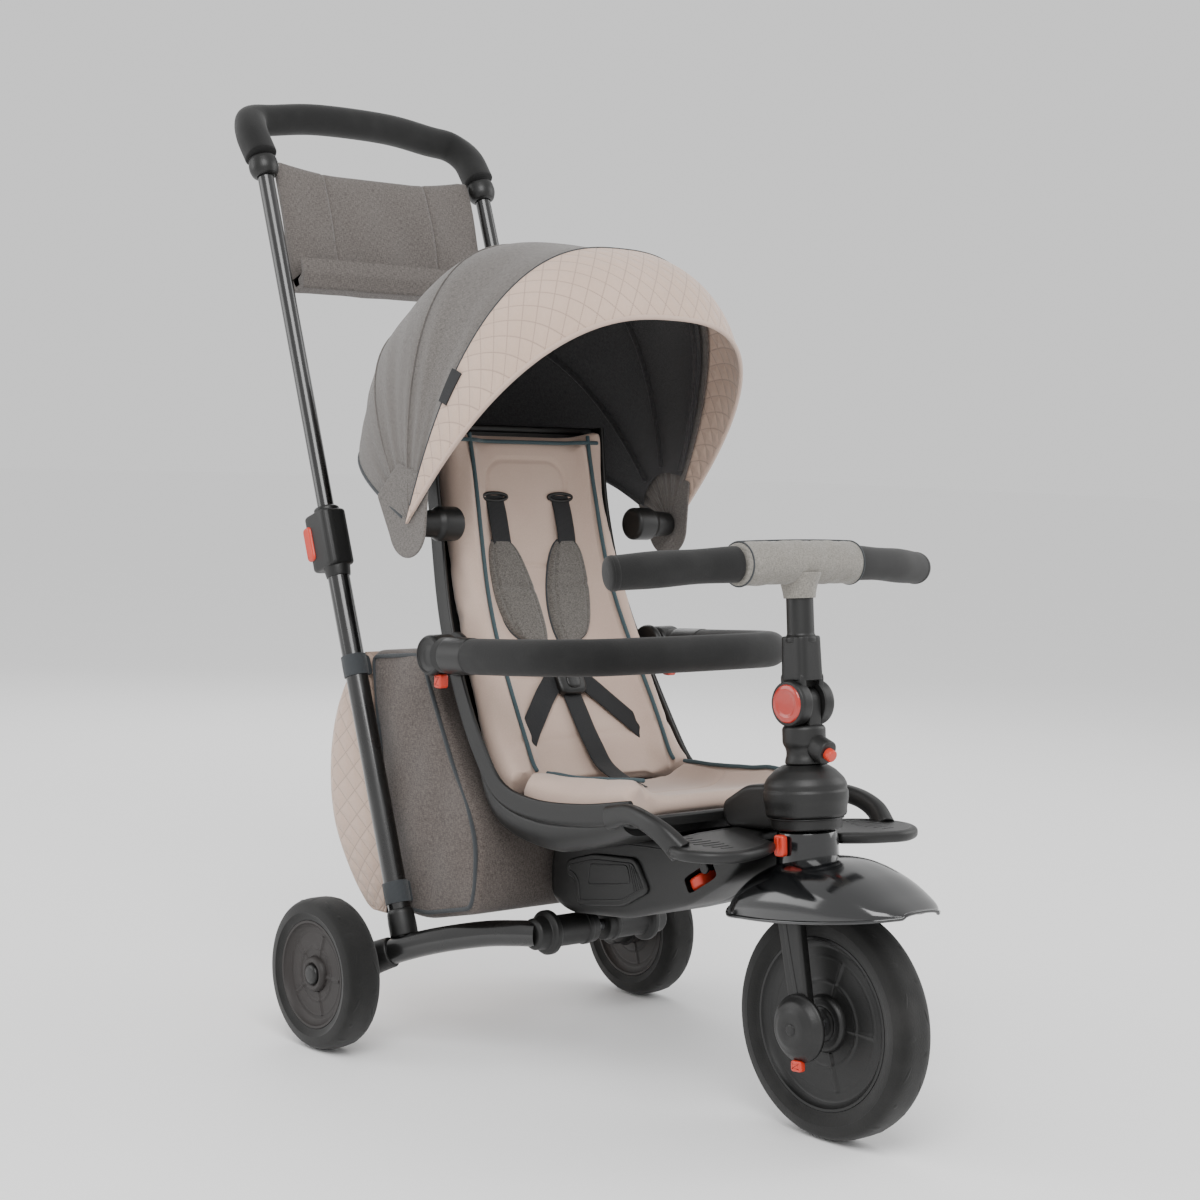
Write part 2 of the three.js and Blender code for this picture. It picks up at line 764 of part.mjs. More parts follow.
function steeringHead(parent) {
  const place = group(parent, steeringPlace, -RAKE);
  const dome = turnedUp(
    [
      [0, -3],
      [35, -3],
      [35, 9],
      [40, 18],
      [42, 34],
      [41, 41],
      [38, 47],
      [30, 55],
      [22, HEAD_HEIGHT],
      [0, HEAD_HEIGHT],
    ],
    24,
  );
  const spine = sidePlate(
    rounded(
      [
        [0, -6],
        [0, 44],
        [-64, 40],
        [-100, 22],
        [-100, 6],
        [-92, -6],
      ],
      8,
    ),
    -22,
    22,
  );
  const bore = rod(at(0, 0, -10), at(0, 0, HEAD_HEIGHT + 5), STEERER_RADIUS + RUNNING_GAP, 20);
  const floor = block(-140, 40, -60, 60, -40, -3);
  add(place, "steering_head", cut(join(dome, spine), bore, floor), SATIN_BLACK);
}

// ---------------------------------------------------------------- safety bar
function safetyBar(parent) {
  const { x, z, halfWidth, reach, rise, radius } = SAFETY_BAR;
  const outer = halfWidth + 13;
  const half = [
    [x + 8, halfWidth, z + 1],
    [x + 0.4 * reach, halfWidth, z + 0.4 * rise],
    [x + 0.76 * reach, halfWidth - 10, z + 0.76 * rise],
    [x + 0.95 * reach, halfWidth - 44, z + 0.95 * rise],
    [x + reach, halfWidth - 100, z + rise],
  ];
  const route = [...half, ...half.map(([a, b, c]) => [a, -b, c]).reverse()];
  let bar = tube(route.map((p) => at(...p)), radius, { steps: 18, segments: 10 });
  const knuckleSpan = [SEAT_HALF_WIDTH + 4, outer];
  const knuckles = sides.map(([, s]) =>
    crossRod(x, z, s * knuckleSpan[0], s * knuckleSpan[1], BAR_KNUCKLE_RADIUS),
  );
  const bores = sides.map(([, s]) =>
    crossRod(x, z, s * (knuckleSpan[0] - 8), s * (outer - 4 + RUNNING_GAP), BAR_STUB_RADIUS + RUNNING_GAP),
  );
  const tab = { half: 6, x0: x + 2, x1: x + 15, top: z - BAR_STUB_RADIUS - 3, length: 16 };
  const pockets = sides.map(([, s]) => {
    const g = block(tab.x0 - 0.6, tab.x1 + 0.6, -tab.half - 0.6, tab.half + 0.6, z - 40, tab.top);
    return g.translate(0, s * halfWidth, 0);
  });
  bar = cut(join(bar, ...knuckles), ...bores, ...pockets);
  add(parent, "safety_bar", bar, FOAM);
  const top = tab.top - BUTTON_TRAVEL - 1;
  for (const [side, s] of sides) {
    const button = block(tab.x0, tab.x1, -tab.half, tab.half, top - tab.length, top);
    add(parent, `bar_release_${side}`, button.translate(0, s * halfWidth, 0), RED);
  }
}

// ---------------------------------------------------------------- canopy
// How far the cloth stands from the folding axis at each angle up from the front, on the middle.
const reachAt = (knots, angle) => {
  const i = Math.max(1, knots.findIndex(([a]) => a >= angle));
  const [[a0, r0], [a1, r1]] = [knots[i - 1], knots[i]];
  return r0 + ((r1 - r0) * (angle - a0)) / (a1 - a0);
};
const CANOPY_REACH = [
  [48, 296],
  [55, 311],
  [62, 318],
  [70, 318],
  [80, 312],
  [92, 313],
  [105, 308],
  [118, 294],
  [130, 279],
  [142, 258],
  [156, 230],
];
const ARCH_POWER = 2.6;

// A thin shell: arches that all start and end near the folding axis, one for each angle.
function canopyShell({ halfWidth, wall, from, to }, extra, steps) {
  const across = 12;
  const start = 0.012; // keeps the ends of the arches apart on the axis
  const arch = (angle, grow) => {
    const reach = reachAt(CANOPY_REACH, angle) + extra + grow;
    const a = THREE.MathUtils.degToRad(angle);
    return Array.from({ length: across + 1 }, (_, i) => {
      const t = start + ((Math.PI - 2 * start) * i) / across;
      const y = (halfWidth + grow) * Math.sign(Math.cos(t)) * Math.abs(Math.cos(t)) ** (2 / ARCH_POWER);
      const r = reach * Math.sin(t) ** (2 / ARCH_POWER);
      return at(CANOPY_X + r * Math.cos(a), y, CANOPY_Z + r * Math.sin(a));
    });
  };
  const sections = Array.from({ length: steps + 1 }, (_, i) => {
    const angle = from + ((to - from) * i) / steps;
    return [...arch(angle, 0), ...arch(angle, -wall).reverse()];
  });
  return loft(sections);
}

function canopy(parent) {
  for (const [side, s] of sides) {
    const [inner, outer] = [SEAT_TOP_HALF_WIDTH + 1, HOOD.halfWidth - HOOD.wall - 2];
    const knob = crossRod(CANOPY_X, CANOPY_Z, s * inner, s * outer, CANOPY_KNOB_RADIUS);
    add(parent, `canopy_knob_${side}`, knob, SATIN_BLACK);
  }
  const flaps = sides.map(([, s]) => {
    const [inner, outer] = [HOOD.halfWidth - HOOD.wall, HOOD.halfWidth];
    return crossRod(CANOPY_X - 5, CANOPY_Z - 4, s * inner, s * outer, CANOPY_FLAP_RADIUS, 18);
  });
  add(parent, "canopy_hood", join(canopyShell(HOOD, 0, 9), ...flaps), GREY_CLOTH);
  add(parent, "canopy_visor", canopyShell(VISOR, VISOR.halfWidth - HOOD.halfWidth, 4), BEIGE_CLOTH);
}

// ---------------------------------------------------------------- steering, fork and front wheel
const frontAxle = at(WHEELBASE, 0, FRONT_WHEEL.radius)
  .sub(steeringPlace)
  .applyAxisAngle(at(0, 1, 0), RAKE);

function fork(parent) {
  const crown = FRONT_WHEEL.radius + 12; // above the axle, clear of the tyre
  const crownZ = frontAxle.z + crown;
  const neck = join(
    rod(at(0, 0, -30), at(0, 0, HEAD_HEIGHT + 14), STEERER_RADIUS),
    rod(at(0, 0, crownZ), at(0, 0, -4), 25, 20),
    block(-14, 30, -LEG_HALF_TRACK - 6, LEG_HALF_TRACK + 6, crownZ, crownZ + 14),
  );
  const legs = sides.map(([, s]) => {
    const thick = [s * LEG_HALF_TRACK - LEG_THICKNESS / 2, s * LEG_HALF_TRACK + LEG_THICKNESS / 2];
    const outline = rounded(
      [
        [frontAxle.x - 12, frontAxle.z - 10],
        [frontAxle.x + 12, frontAxle.z - 10],
        [24, crownZ + 12],
        [-8, crownZ + 12],
      ],
      8,
    );
    return sidePlate(outline, ...thick);
  });
  const axleHole = crossRod(frontAxle.x, frontAxle.z, -60, 60, AXLE_RADIUS + GAP);
  return cut(join(neck, ...legs), axleHole);
}

// A helmet-shaped shell over the wheel: half width, crest and edge heights at each station.
const MUDGUARD = [
  [437, 42, 216, 206],
  [455, 56, 241, 208],
  [478, 62, 259, 211],
  [515, 66, 272, 215],
  [560, 66, 276, 221],
  [600, 61, 267, 227],
  [635, 46, 251, 233],
  [655, 24, 241, 237],
];

function mudguard() {
  const wall = 2.5;
  const across = 8;
  const arch = ([x, w, crest, edge], shrink) =>
    Array.from({ length: across + 1 }, (_, i) => {
      const t = (Math.PI * i) / across;
      const y = (w - shrink) * Math.sign(Math.cos(t)) * Math.abs(Math.cos(t)) ** 0.8;
      return at(x, y, edge + (crest - shrink - edge) * Math.sin(t) ** 0.8);
    });
  const shell = loft(
    MUDGUARD.map((station) => [...arch(station, 0), ...arch(station, wall).reverse()]),
  );
  const collar = rod(at(0, 0, -44), at(0, 0, -4), 31, 24);
  const room = rod(at(0, 0, -90), at(0, 0, 5), 25 + GAP, 24);
  const place = (g) => g.rotateY(-RAKE).translate(...steeringPlace);
  return cut(join(shell, place(collar)), place(room))
    .translate(...steeringPlace.clone().negate())
    .rotateY(RAKE);
}

function stemBase() {
  const column = turnedUp(
    [
      [0, HEAD_HEIGHT + RUNNING_GAP],
      [17.5, HEAD_HEIGHT + RUNNING_GAP],
      [17.5, 76],
      [21.5, 80],
      [21.5, DRUM_AT - DRUM_RADIUS - 1.5],
      [0, DRUM_AT - DRUM_RADIUS - 1.5],
    ],
    20,
  );
  const tongue = join(
    crossRod(0, DRUM_AT, -TONGUE_HALF, TONGUE_HALF, DRUM_RADIUS - 4),
    block(-12, 12, -TONGUE_HALF, TONGUE_HALF, 90, DRUM_AT),
  );
  const boss = rod(at(8, 0, 82), at(30, 0, 72), 11.5, 16);
  const steererRoom = rod(at(0, 0, 50), at(0, 0, HEAD_HEIGHT + 14 + GAP), STEERER_RADIUS + GAP);
  const buttonRoom = rod(at(21, 0, 76.1), at(41, 0, 67), 7, 16);
  return cut(join(column, tongue, boss), steererRoom, buttonRoom);
}

// The upper stem folds forward about the drum; it carries the handlebar.
function stemUpper() {
  const drum = crossRod(0, DRUM_AT, -DRUM_HALF_LENGTH, DRUM_HALF_LENGTH, DRUM_RADIUS, 24);
  const half = 16.5;
  const socket = block(-half, half, -half, half, DRUM_AT + 13.5, DRUM_AT + 64);
  const post = rod(at(0, 0, DRUM_AT + 60), at(0, 0, BAR_AT + 4), 13.5);
  const slotHalf = TONGUE_HALF + RUNNING_GAP;
  const slot = join(
    crossRod(0, DRUM_AT, -slotHalf, slotHalf, DRUM_RADIUS - 4 + RUNNING_GAP, 24),
    block(-13, 40, -slotHalf, slotHalf, DRUM_AT - 30, DRUM_AT + 13),
  );
  const discRoom = crossRod(0, DRUM_AT, -DRUM_HALF_LENGTH - 1, -DRUM_HALF_LENGTH + 6, 19.5 + GAP, 24);
  const barRoom = tube(barRoute(), BAR_RADIUS + GAP, { steps: 16, segments: 10 });
  return cut(join(drum, socket, post), slot, discRoom, barRoom);
}

const barRoute = () =>
  Array.from({ length: 9 }, (_, i) => {
    const u = (i - 4) / 4;
    return at(-BAR_SWEEP * u * u, u * BAR_HALF_LENGTH, BAR_AT - BAR_DROP * u * u);
  });

function handlebar(parent) {
  const steps = 16;
  const core = cut(
    tube(barRoute(), BAR_RADIUS, { steps, segments: 10 }),
    block(-90, 40, BAR_HALF_LENGTH - 8, 300, 100, 400),
    block(-90, 40, -300, 8 - BAR_HALF_LENGTH, 100, 400),
  );
  add(parent, "handlebar", core, TUBE_BLACK);
  const bore = cut(
    tube(barRoute(), BAR_RADIUS + GAP, { steps, segments: 10 }),
    block(-90, 40, BAR_HALF_LENGTH - 8 + GAP, 300, 100, 400),
    block(-90, 40, -300, 8 - GAP - BAR_HALF_LENGTH, 100, 400),
  );
  const foam = cut(tube(barRoute(), BAR_GRIP_RADIUS, { steps, segments: 12 }), bore);
  for (const [side, s] of sides) {
    const keep = s > 0 ? [-300, SLEEVE_HALF_LENGTH + GAP] : [-SLEEVE_HALF_LENGTH - GAP, 300];
    add(parent, `grip_${side}`, cut(foam, block(-120, 60, ...keep, 100, 400)), FOAM);
  }
  const cloth = cut(
    tube(barRoute(), SLEEVE_RADIUS, { steps, segments: 12 }),
    bore,
    block(-120, 60, SLEEVE_HALF_LENGTH, 300, 100, 400),
    block(-120, 60, -300, -SLEEVE_HALF_LENGTH, 100, 400),
    rod(at(0, 0, 200), at(0, 0, BAR_AT + 4 + GAP), 13.5 + GAP),
  );
  add(parent, "handlebar_sleeve", cloth, GREY_CLOTH);
}

function steering(parent) {
  const place = group(parent, steeringPlace, -RAKE);
  add(place, "fork", fork(), GLOSS_BLACK);
  add(place, "mudguard", mudguard(), GLOSS_BLACK);
  add(place, "stem_base", stemBase(), SATIN_BLACK);
  const button = rod(at(21 + BUTTON_TRAVEL + 1, 0, 74.3), at(38, 0, 68.4), 6.3, 16);
  add(place, "stem_button", button, RED);
  const lever = block(-8, 6, -40, -31.5, -28, -6);
  add(place, "steering_lock_lever", lever, RED);
  add(place, "stem_upper", stemUpper(), SATIN_BLACK);
  const discIn = -DRUM_HALF_LENGTH + 6 - BUTTON_TRAVEL - 0.5;
  const disc = crossRod(0, DRUM_AT, -DRUM_HALF_LENGTH - 1.5, discIn, 19.5, 24);
  add(place, "fold_disc_button", disc, RED);
  handlebar(place);
  const out = LEG_HALF_TRACK + LEG_THICKNESS / 2;
  const half = out - 2;
  const axle = crossRod(frontAxle.x, frontAxle.z, -half, half, AXLE_RADIUS, 12);
  add(place, "front_axle", axle, STEEL);
  for (const [side, s] of sides) {
    const dome = turned(
      [
        [0, 0],
        [33, 0],
        [33, 7],
        [26, 13],
        [14, 16],
        [0, 16],
      ],
      20,
    );
    if (s < 0) dome.rotateX(Math.PI);
    dome.translate(frontAxle.x, s * (out + GAP), frontAxle.z);
    const [y0, y1] = s > 0 ? [out - 1, out + 11] : [-out - 11, 1 - out];
    const tabRoom = block(-8, 8, y0, y1, -50, -26).translate(frontAxle.x, 0, frontAxle.z);
    add(place, `hub_cover_${side}`, cut(dome, tabRoom), GLOSS_BLACK);
  }
  const tabTop = frontAxle.z - 26 - BUTTON_TRAVEL - 0.6;
  const tab = block(-7.4, 7.4, -out - 10, -out - 2, tabTop - 12, tabTop);
  add(place, "pedal_clutch_tab", tab.translate(frontAxle.x, 0, 0), RED);
  const wheelPlace = group(place, frontAxle, RAKE);
  wheel(wheelPlace, "front_wheel", FRONT_WHEEL, LEG_HALF_TRACK - LEG_THICKNESS / 2 - 1.5, 26);
}

// ---------------------------------------------------------------- assembly
rearWheels();
rearFrame();
uprights();
pushHandle();
handleBag();
storageBag();
bagPocket();
seat(tricycle);
harness(tricycle);
housing(tricycle);
add(tricycle, "footrest", footrest(), SATIN_BLACK);
steeringHead(tricycle);
safetyBar(tricycle);
canopy(tricycle);
steering(tricycle);

export default tricycle;
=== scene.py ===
"""The looks of a folding children's tricycle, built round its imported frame.

Sizes are in millimetres in the code and go into the meshes in metres. The rear axle, the leaning handle
tubes, the steering axis and the canopy's pivots each get a bench, whose directions come from the frame, and
pieces are shaped on their bench: X ahead, Y to the left and Z up or along the axis.
"""

import json
import math

import bpy
import numpy as np
from mathutils import Matrix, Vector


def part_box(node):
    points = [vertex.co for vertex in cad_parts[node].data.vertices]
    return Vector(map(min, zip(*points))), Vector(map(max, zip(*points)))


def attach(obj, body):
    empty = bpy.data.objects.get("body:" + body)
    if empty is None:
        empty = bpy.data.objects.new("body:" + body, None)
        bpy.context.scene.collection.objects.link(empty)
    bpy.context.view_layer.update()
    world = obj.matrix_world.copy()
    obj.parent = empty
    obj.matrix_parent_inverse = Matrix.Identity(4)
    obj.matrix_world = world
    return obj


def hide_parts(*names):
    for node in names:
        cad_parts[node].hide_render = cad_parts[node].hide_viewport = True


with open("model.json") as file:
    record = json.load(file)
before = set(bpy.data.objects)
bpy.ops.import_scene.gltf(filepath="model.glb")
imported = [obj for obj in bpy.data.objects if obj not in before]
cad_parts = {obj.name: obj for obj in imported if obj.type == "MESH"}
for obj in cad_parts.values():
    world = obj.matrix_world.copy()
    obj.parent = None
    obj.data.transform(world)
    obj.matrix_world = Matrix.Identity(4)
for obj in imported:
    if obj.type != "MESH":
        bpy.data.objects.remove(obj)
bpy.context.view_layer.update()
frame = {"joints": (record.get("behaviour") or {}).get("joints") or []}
MM = 0.001
JOINTS = {j["name"]: j for j in frame["joints"]}
SIDES = (("left", 1), ("right", -1))


# ------------------------------------------------------------------ benches
def unit(v):
    v = np.asarray(v, float)
    return v / np.linalg.norm(v, axis=-1, keepdims=True)


class Bench:
    """A place to work at: an origin in mm and three directions of the row frame."""

    def __init__(self, origin, up=(0, 0, 1), ahead=(1, 0, 0)):
        self.origin = np.asarray(origin, float)
        self.up = unit(up)
        self.left = unit(np.cross(self.up, ahead))
        self.ahead = np.cross(self.left, self.up)

    def __call__(self, points):
        """Points measured on the bench, as points of the row frame."""
        p = np.asarray(points, float)
        return self.origin + p[..., :1] * self.ahead + p[..., 1:2] * self.left + p[..., 2:3] * self.up


def middle(node):
    low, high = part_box(node)
    return np.array((low + high) / 2) / MM


def size(node):
    low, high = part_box(node)
    return np.array(high - low) / MM


def pivot(joint):
    return np.array(JOINTS[joint]["pos_m"]) / MM


REAR_AXLE_X = middle("rear_wheel_left_tyre")[0]
AXLE = Bench((REAR_AXLE_X, 0, 0))
UPRIGHT_FOOT = (47.8, 0, 136)  # where the leaning tubes start, on the axle bench
LEAN = Bench(AXLE(UPRIGHT_FOOT), -np.array(JOINTS["handle_height"]["axis"]))
STEER = Bench(pivot("steering_turn"), JOINTS["steering_turn"]["axis"])
HANDLE_HALF = abs(middle("handle_tube_left")[1])
REAR_WIDTH_INSIDE = middle("rear_wheel_left_tyre")[1] - size("rear_wheel_left_tyre")[1] / 2 - 2


# ------------------------------------------------------------------ lines and outlines
def fillet(corners, radius, steps=6, closed=False):
    """A line whose corners are rounded: each corner is a quadratic curve from a radius before it to a
    radius after it, or to 45% of the shorter side."""
    c = np.asarray(corners, float)
    before = np.roll(c, 1, 0) - c
    after = np.roll(c, -1, 0) - c
    reach = np.minimum(np.linalg.norm(before, axis=1), np.linalg.norm(after, axis=1)) * 0.45
    r = np.minimum(np.broadcast_to(radius, len(c)), reach)[:, None]
    start = c + unit(before + 1e-12) * r
    end = c + unit(after + 1e-12) * r
    t = np.linspace(0, 1, steps)[None, :, None]
    bent = (1 - t) ** 2 * start[:, None] + 2 * t * (1 - t) * c[:, None] + t**2 * end[:, None]
    if closed:
        return bent.reshape(-1, c.shape[1])
    return np.concatenate([c[:1], bent[1:-1].reshape(-1, c.shape[1]), c[-1:]])


def evenly(line, count, closed=False):
    """A line as count points at equal distances along it."""
    line = np.asarray(line, float)
    if closed:
        line = np.concatenate([line, line[:1]])
    far = np.concatenate([[0], np.cumsum(np.linalg.norm(np.diff(line, axis=0), axis=1))])
    at = np.linspace(0, far[-1], count, endpoint=not closed)
    return np.stack([np.interp(at, far, line[:, k]) for k in range(line.shape[1])], 1)


def curve(points, count=48):
    """A smooth line through the points: cubic pieces whose slope at a point runs from the one before it
    to the one after it, then count points at equal distances."""
    p = np.asarray(points, float)
    slope = np.gradient(p, axis=0)
    t = np.linspace(0, len(p) - 1, 12 * len(p))
    i = np.minimum(t.astype(int), len(p) - 2)
    f = (t - i)[:, None]
    line = (
        (2 * f**3 - 3 * f**2 + 1) * p[i]
        + (f**3 - 2 * f**2 + f) * slope[i]
        + (3 * f**2 - 2 * f**3) * p[i + 1]
        + (f**3 - f**2) * slope[i + 1]
    )
    return evenly(line, count)


def circle(radius, count=40):
    """A round section."""
    a = np.linspace(0, 2 * np.pi, count, endpoint=False)
    return radius * np.stack([np.cos(a), np.sin(a)], 1)


def squircle(half_a, half_b, power=4, count=48):
    """An oval section that is squarer as its power rises: each coordinate is its half size times the cosine
    or sine to the power of two over that number."""
    a = np.linspace(0, 2 * np.pi, count, endpoint=False)
    c, s = np.cos(a), np.sin(a)
    e = 2 / power
    return np.stack([half_a * np.sign(c) * abs(c) ** e, half_b * np.sign(s) * abs(s) ** e], 1)


# ------------------------------------------------------------------ surfaces
def grid_faces(rows, columns, wrap_rows, wrap_columns):
    i = np.arange(rows if wrap_rows else rows - 1)[:, None]
    j = np.arange(columns if wrap_columns else columns - 1)[None]
    i2, j2 = (i + 1) % rows, (j + 1) % columns
    return (
        np.stack([i * columns + j, i * columns + j2, i2 * columns + j2, i2 * columns + j], -1).reshape(-1, 4)
    )


def signed_volume(points, faces):
    """Six times the volume that closed quads enclose, positive when they face outwards."""
    a, b, c, d = (points[faces[:, k]] for k in range(4))
    return (np.einsum("ij,ij->i", a, np.cross(b, c)) + np.einsum("ij,ij->i", a, np.cross(c, d))).sum()


def lengths_along(grid, axis, wrap):
    """How far each row or column is along the cloth, in metres, on the average of the others."""
    closed = np.concatenate([grid, np.take(grid, [0], axis)], axis) if wrap else grid
    steps = np.linalg.norm(np.diff(closed, axis=axis), axis=2).mean(1 - axis)
    return np.concatenate([[0], np.cumsum(steps)]) * MM


def surface(
    name, grid, finish, bench=None, wrap_rows=False, wrap_columns=False, lids=False, sharp=40, cloth=None
):
    """A piece from rows of points: each row joined to the next, with its UV in metres along the two ways, or
    from a cloth map given in mm for each point. A lid closes the first and the last row with a flat face."""
    grid = bench(grid) if bench else np.asarray(grid, float)
    rows, columns = grid.shape[:2]
    points = grid.reshape(-1, 3)
    faces = grid_faces(rows, columns, wrap_rows, wrap_columns)
    closed = lids or (wrap_rows and wrap_columns)
    flip = closed and signed_volume(points - points.mean(0), faces) < 0
    u = lengths_along(grid, 0, wrap_rows)
    v = lengths_along(grid, 1, wrap_columns)
    i, j = np.divmod(np.arange(len(faces)), columns if wrap_columns else columns - 1)
    uv = np.stack([np.stack([u[i + a], v[j + b]], -1) for a, b in ((0, 0), (0, 1), (1, 1), (1, 0))], 1)
    if cloth is not None:
        uv = cloth.reshape(-1, 2)[faces] * MM
    if flip:
        faces, uv = faces[:, ::-1], uv[:, ::-1]
    loops = faces.reshape(-1)
    starts = np.arange(len(faces)) * 4
    lengths = np.full(len(faces), 4)
    uv = uv.reshape(-1, 2)
    if lids:
        ends = (np.arange(columns)[::-1], (rows - 1) * columns + np.arange(columns))
        for lid in ends:
            lid = lid[::-1] if flip else lid
            starts = np.append(starts, len(loops))
            lengths = np.append(lengths, columns)
            loops = np.concatenate([loops, lid])
            uv = np.concatenate([uv, points[lid][:, [0, 2]] * MM])
    mesh = bpy.data.meshes.new(name)
    mesh.vertices.add(len(points))
    mesh.vertices.foreach_set("co", (points * MM).astype(np.float32).ravel())
    mesh.loops.add(len(loops))
    mesh.loops.foreach_set("vertex_index", loops.astype(np.int32))
    mesh.polygons.add(len(starts))
    mesh.polygons.foreach_set("loop_start", starts.astype(np.int32))
    mesh.polygons.foreach_set("loop_total", lengths.astype(np.int32))
    mesh.uv_layers.new(name="cloth").data.foreach_set("uv", uv.astype(np.float32).ravel())
    mesh.update(calc_edges=True)
    mesh.validate()
    return finished(name, mesh, finish, sharp)


def finished(name, mesh, finish, sharp=40):
    """A mesh as a shown piece with its material and smooth shading up to the sharp angle."""
    mesh.shade_smooth()
    mesh.set_sharp_from_angle(angle=math.radians(sharp))
    mesh.materials.append(finish)
    piece = bpy.data.objects.new(name, mesh)
    bpy.context.scene.collection.objects.link(piece)
    return piece


def copies(name, grids, finish, bench=None, sharp=40):
    """Many small open grids of one size as a single piece."""
    count, rows, columns = grids.shape[:3]
    points = (bench(grids) if bench else grids).reshape(-1, 3)
    one = grid_faces(rows, columns, False, False)
    faces = (one[None] + np.arange(count)[:, None, None] * rows * columns).reshape(-1, 4)
    mesh = bpy.data.meshes.new(name)
    mesh.from_pydata((points * MM).tolist(), [], faces.tolist())
    mesh.uv_layers.new(name="cloth")
    return finished(name, mesh, finish, sharp)


def turned(name, profile, finish, bench, segments=72, sharp=40):
    """A profile of radius and height pairs turned about the bench's upright. It starts and ends on the axis
    or closes on itself."""
    profile = np.asarray(profile, float)
    a = np.linspace(0, 2 * np.pi, segments, endpoint=False)[None]
    r, h = profile[:, :1], profile[:, 1:]
    grid = np.stack([r * np.cos(a), r * np.sin(a), h + 0 * a], -1)
    on_axis = profile[0, 0] < 1e-6
    if on_axis:
        grid[0, :, :2] *= 0
        grid[[0, -1]] = grid[[1, -2]] * (1e-3, 1e-3, 0) + (0, 0, 1) * grid[[0, -1]]
    return surface(
        name, grid, finish, bench, wrap_rows=not on_axis, wrap_columns=True, lids=on_axis, sharp=sharp
    )


def frames_along(path, up=(0, 0, 1)):
    """A path's own direction at each point and two square to it: one square to up as well, and the other."""
    tangent = unit(np.gradient(path, axis=0))
    side = unit(np.cross(np.broadcast_to(up, path.shape), tangent))
    return tangent, side, np.cross(tangent, side)


def swept(
    name, path, section, finish, bench=None, up=(0, 0, 1), scale=None, round_ends=0.0, closed=False, sharp=40
):
    """A section carried along a path, square to it. Scale grows or shrinks it on the way, and rounded ends
    are a quarter circle of that depth."""
    path = np.asarray(path, float)
    section = np.asarray(section, float)
    scale = np.ones(len(path)) if scale is None else np.broadcast_to(scale, len(path))
    tangent, side, over = frames_along(path, up)
    if round_ends:
        a = np.linspace(0, np.pi / 2, 6)[1:]
        half = np.abs(section).max()
        shrink = 1 - (round_ends / half) * (1 - np.cos(a))
        ahead = round_ends * np.sin(a)[:, None]
        path = np.concatenate([(path[0] - tangent[0] * ahead)[::-1], path, path[-1] + tangent[-1] * ahead])
        scale = np.concatenate([(scale[0] * shrink)[::-1], scale, scale[-1] * shrink])
        side = np.concatenate([np.repeat(side[:1], 5, 0), side, np.repeat(side[-1:], 5, 0)])
        over = np.concatenate([np.repeat(over[:1], 5, 0), over, np.repeat(over[-1:], 5, 0)])
    s = section[None] * scale[:, None, None]
    grid = path[:, None] + s[..., :1] * side[:, None] + s[..., 1:] * over[:, None]
    return surface(
        name, grid, finish, bench, wrap_rows=closed, wrap_columns=True, lids=not closed, sharp=sharp
    )


def inset(outline, depth):
    """A closed outline moved inwards by a depth, square to itself, for one that runs anticlockwise."""
    along = unit(np.roll(outline, -1, 0) - np.roll(outline, 1, 0))
    return outline + depth * np.stack([-along[:, 1], along[:, 0]], 1)


def anticlockwise(outline):
    x, y = outline[:, 0], outline[:, 1]
    return outline if (x * np.roll(y, -1) - y * np.roll(x, -1)).sum() > 0 else outline[::-1]


def plate(name, corners, low, high, finish, bench=None, radius=8, edge=2.5, lying=False, sharp=40, count=160):
    """A rounded outline given thickness, its rims eased by a quarter circle, one size or a pair of them for
    the low and the high rim. It stands in X and Z with its thickness along Y, or lies in X and Y with its
    thickness along Z."""
    outline = anticlockwise(evenly(fillet(corners, radius, closed=True), count, closed=True))
    near, far = np.broadcast_to(edge, 2)
    a = np.linspace(0, np.pi / 2, 6)
    ease, rise = 1 - np.sin(a), 1 - np.cos(a)
    depth = np.concatenate([[near + 1.2], near * ease, far * ease[::-1], [far + 1.2]])
    level = np.concatenate([[low], low + near * rise, high - far * rise[::-1], [high]])
    rings = np.stack([inset(outline, d) for d in depth])
    tall = np.broadcast_to(level[:, None, None], rings[..., :1].shape)
    grid = np.concatenate([rings, tall] if lying else [rings[..., :1], tall, rings[..., 1:]], -1)
    return surface(name, grid, finish, bench, wrap_columns=True, lids=True, sharp=sharp)


def lump(name, centre, half, finish, bench=None, power=5.0, count=28, turn=0.0):
    """A block with full round corners, a superellipsoid: sines and cosines of two angles, each to the power
    of two over the given number, times the half sizes. Turn tips it about Y."""
    e = 2 / power
    lat = np.linspace(-np.pi / 2, np.pi / 2, count)[:, None]
    lon = np.linspace(0, 2 * np.pi, 2 * count, endpoint=False)[None]

    def bent(x):
        return np.sign(x) * np.abs(x) ** e

    ball = np.stack(
        [
            bent(np.cos(lat)) * bent(np.cos(lon)),
            bent(np.cos(lat)) * bent(np.sin(lon)),
            bent(np.sin(lat)) + 0 * lon,
        ],
        -1,
    )
    ball[[0, -1], :, :2] = ball[[1, -2], :, :2] * 1e-3
    grid = ball * np.asarray(half, float)
    c, s = math.cos(turn), math.sin(turn)
    grid = np.stack(
        [grid[..., 0] * c + grid[..., 2] * s, grid[..., 1], grid[..., 2] * c - grid[..., 0] * s], -1
    )
    return surface(
        name, grid + np.asarray(centre, float), finish, bench, wrap_columns=True, lids=True, sharp=60
    )


def fit(piece, body, slot, *nodes):
    """The piece rides on a body and stands for these CAD nodes, which it hides. The slot is not used."""
    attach(piece, body)
    if nodes:
        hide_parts(*nodes)
    return piece


def modify(piece, kind, **settings):
    m = piece.modifiers.new(kind.title(), kind)
    for key, value in settings.items():
        setattr(m, key, value)
    return m


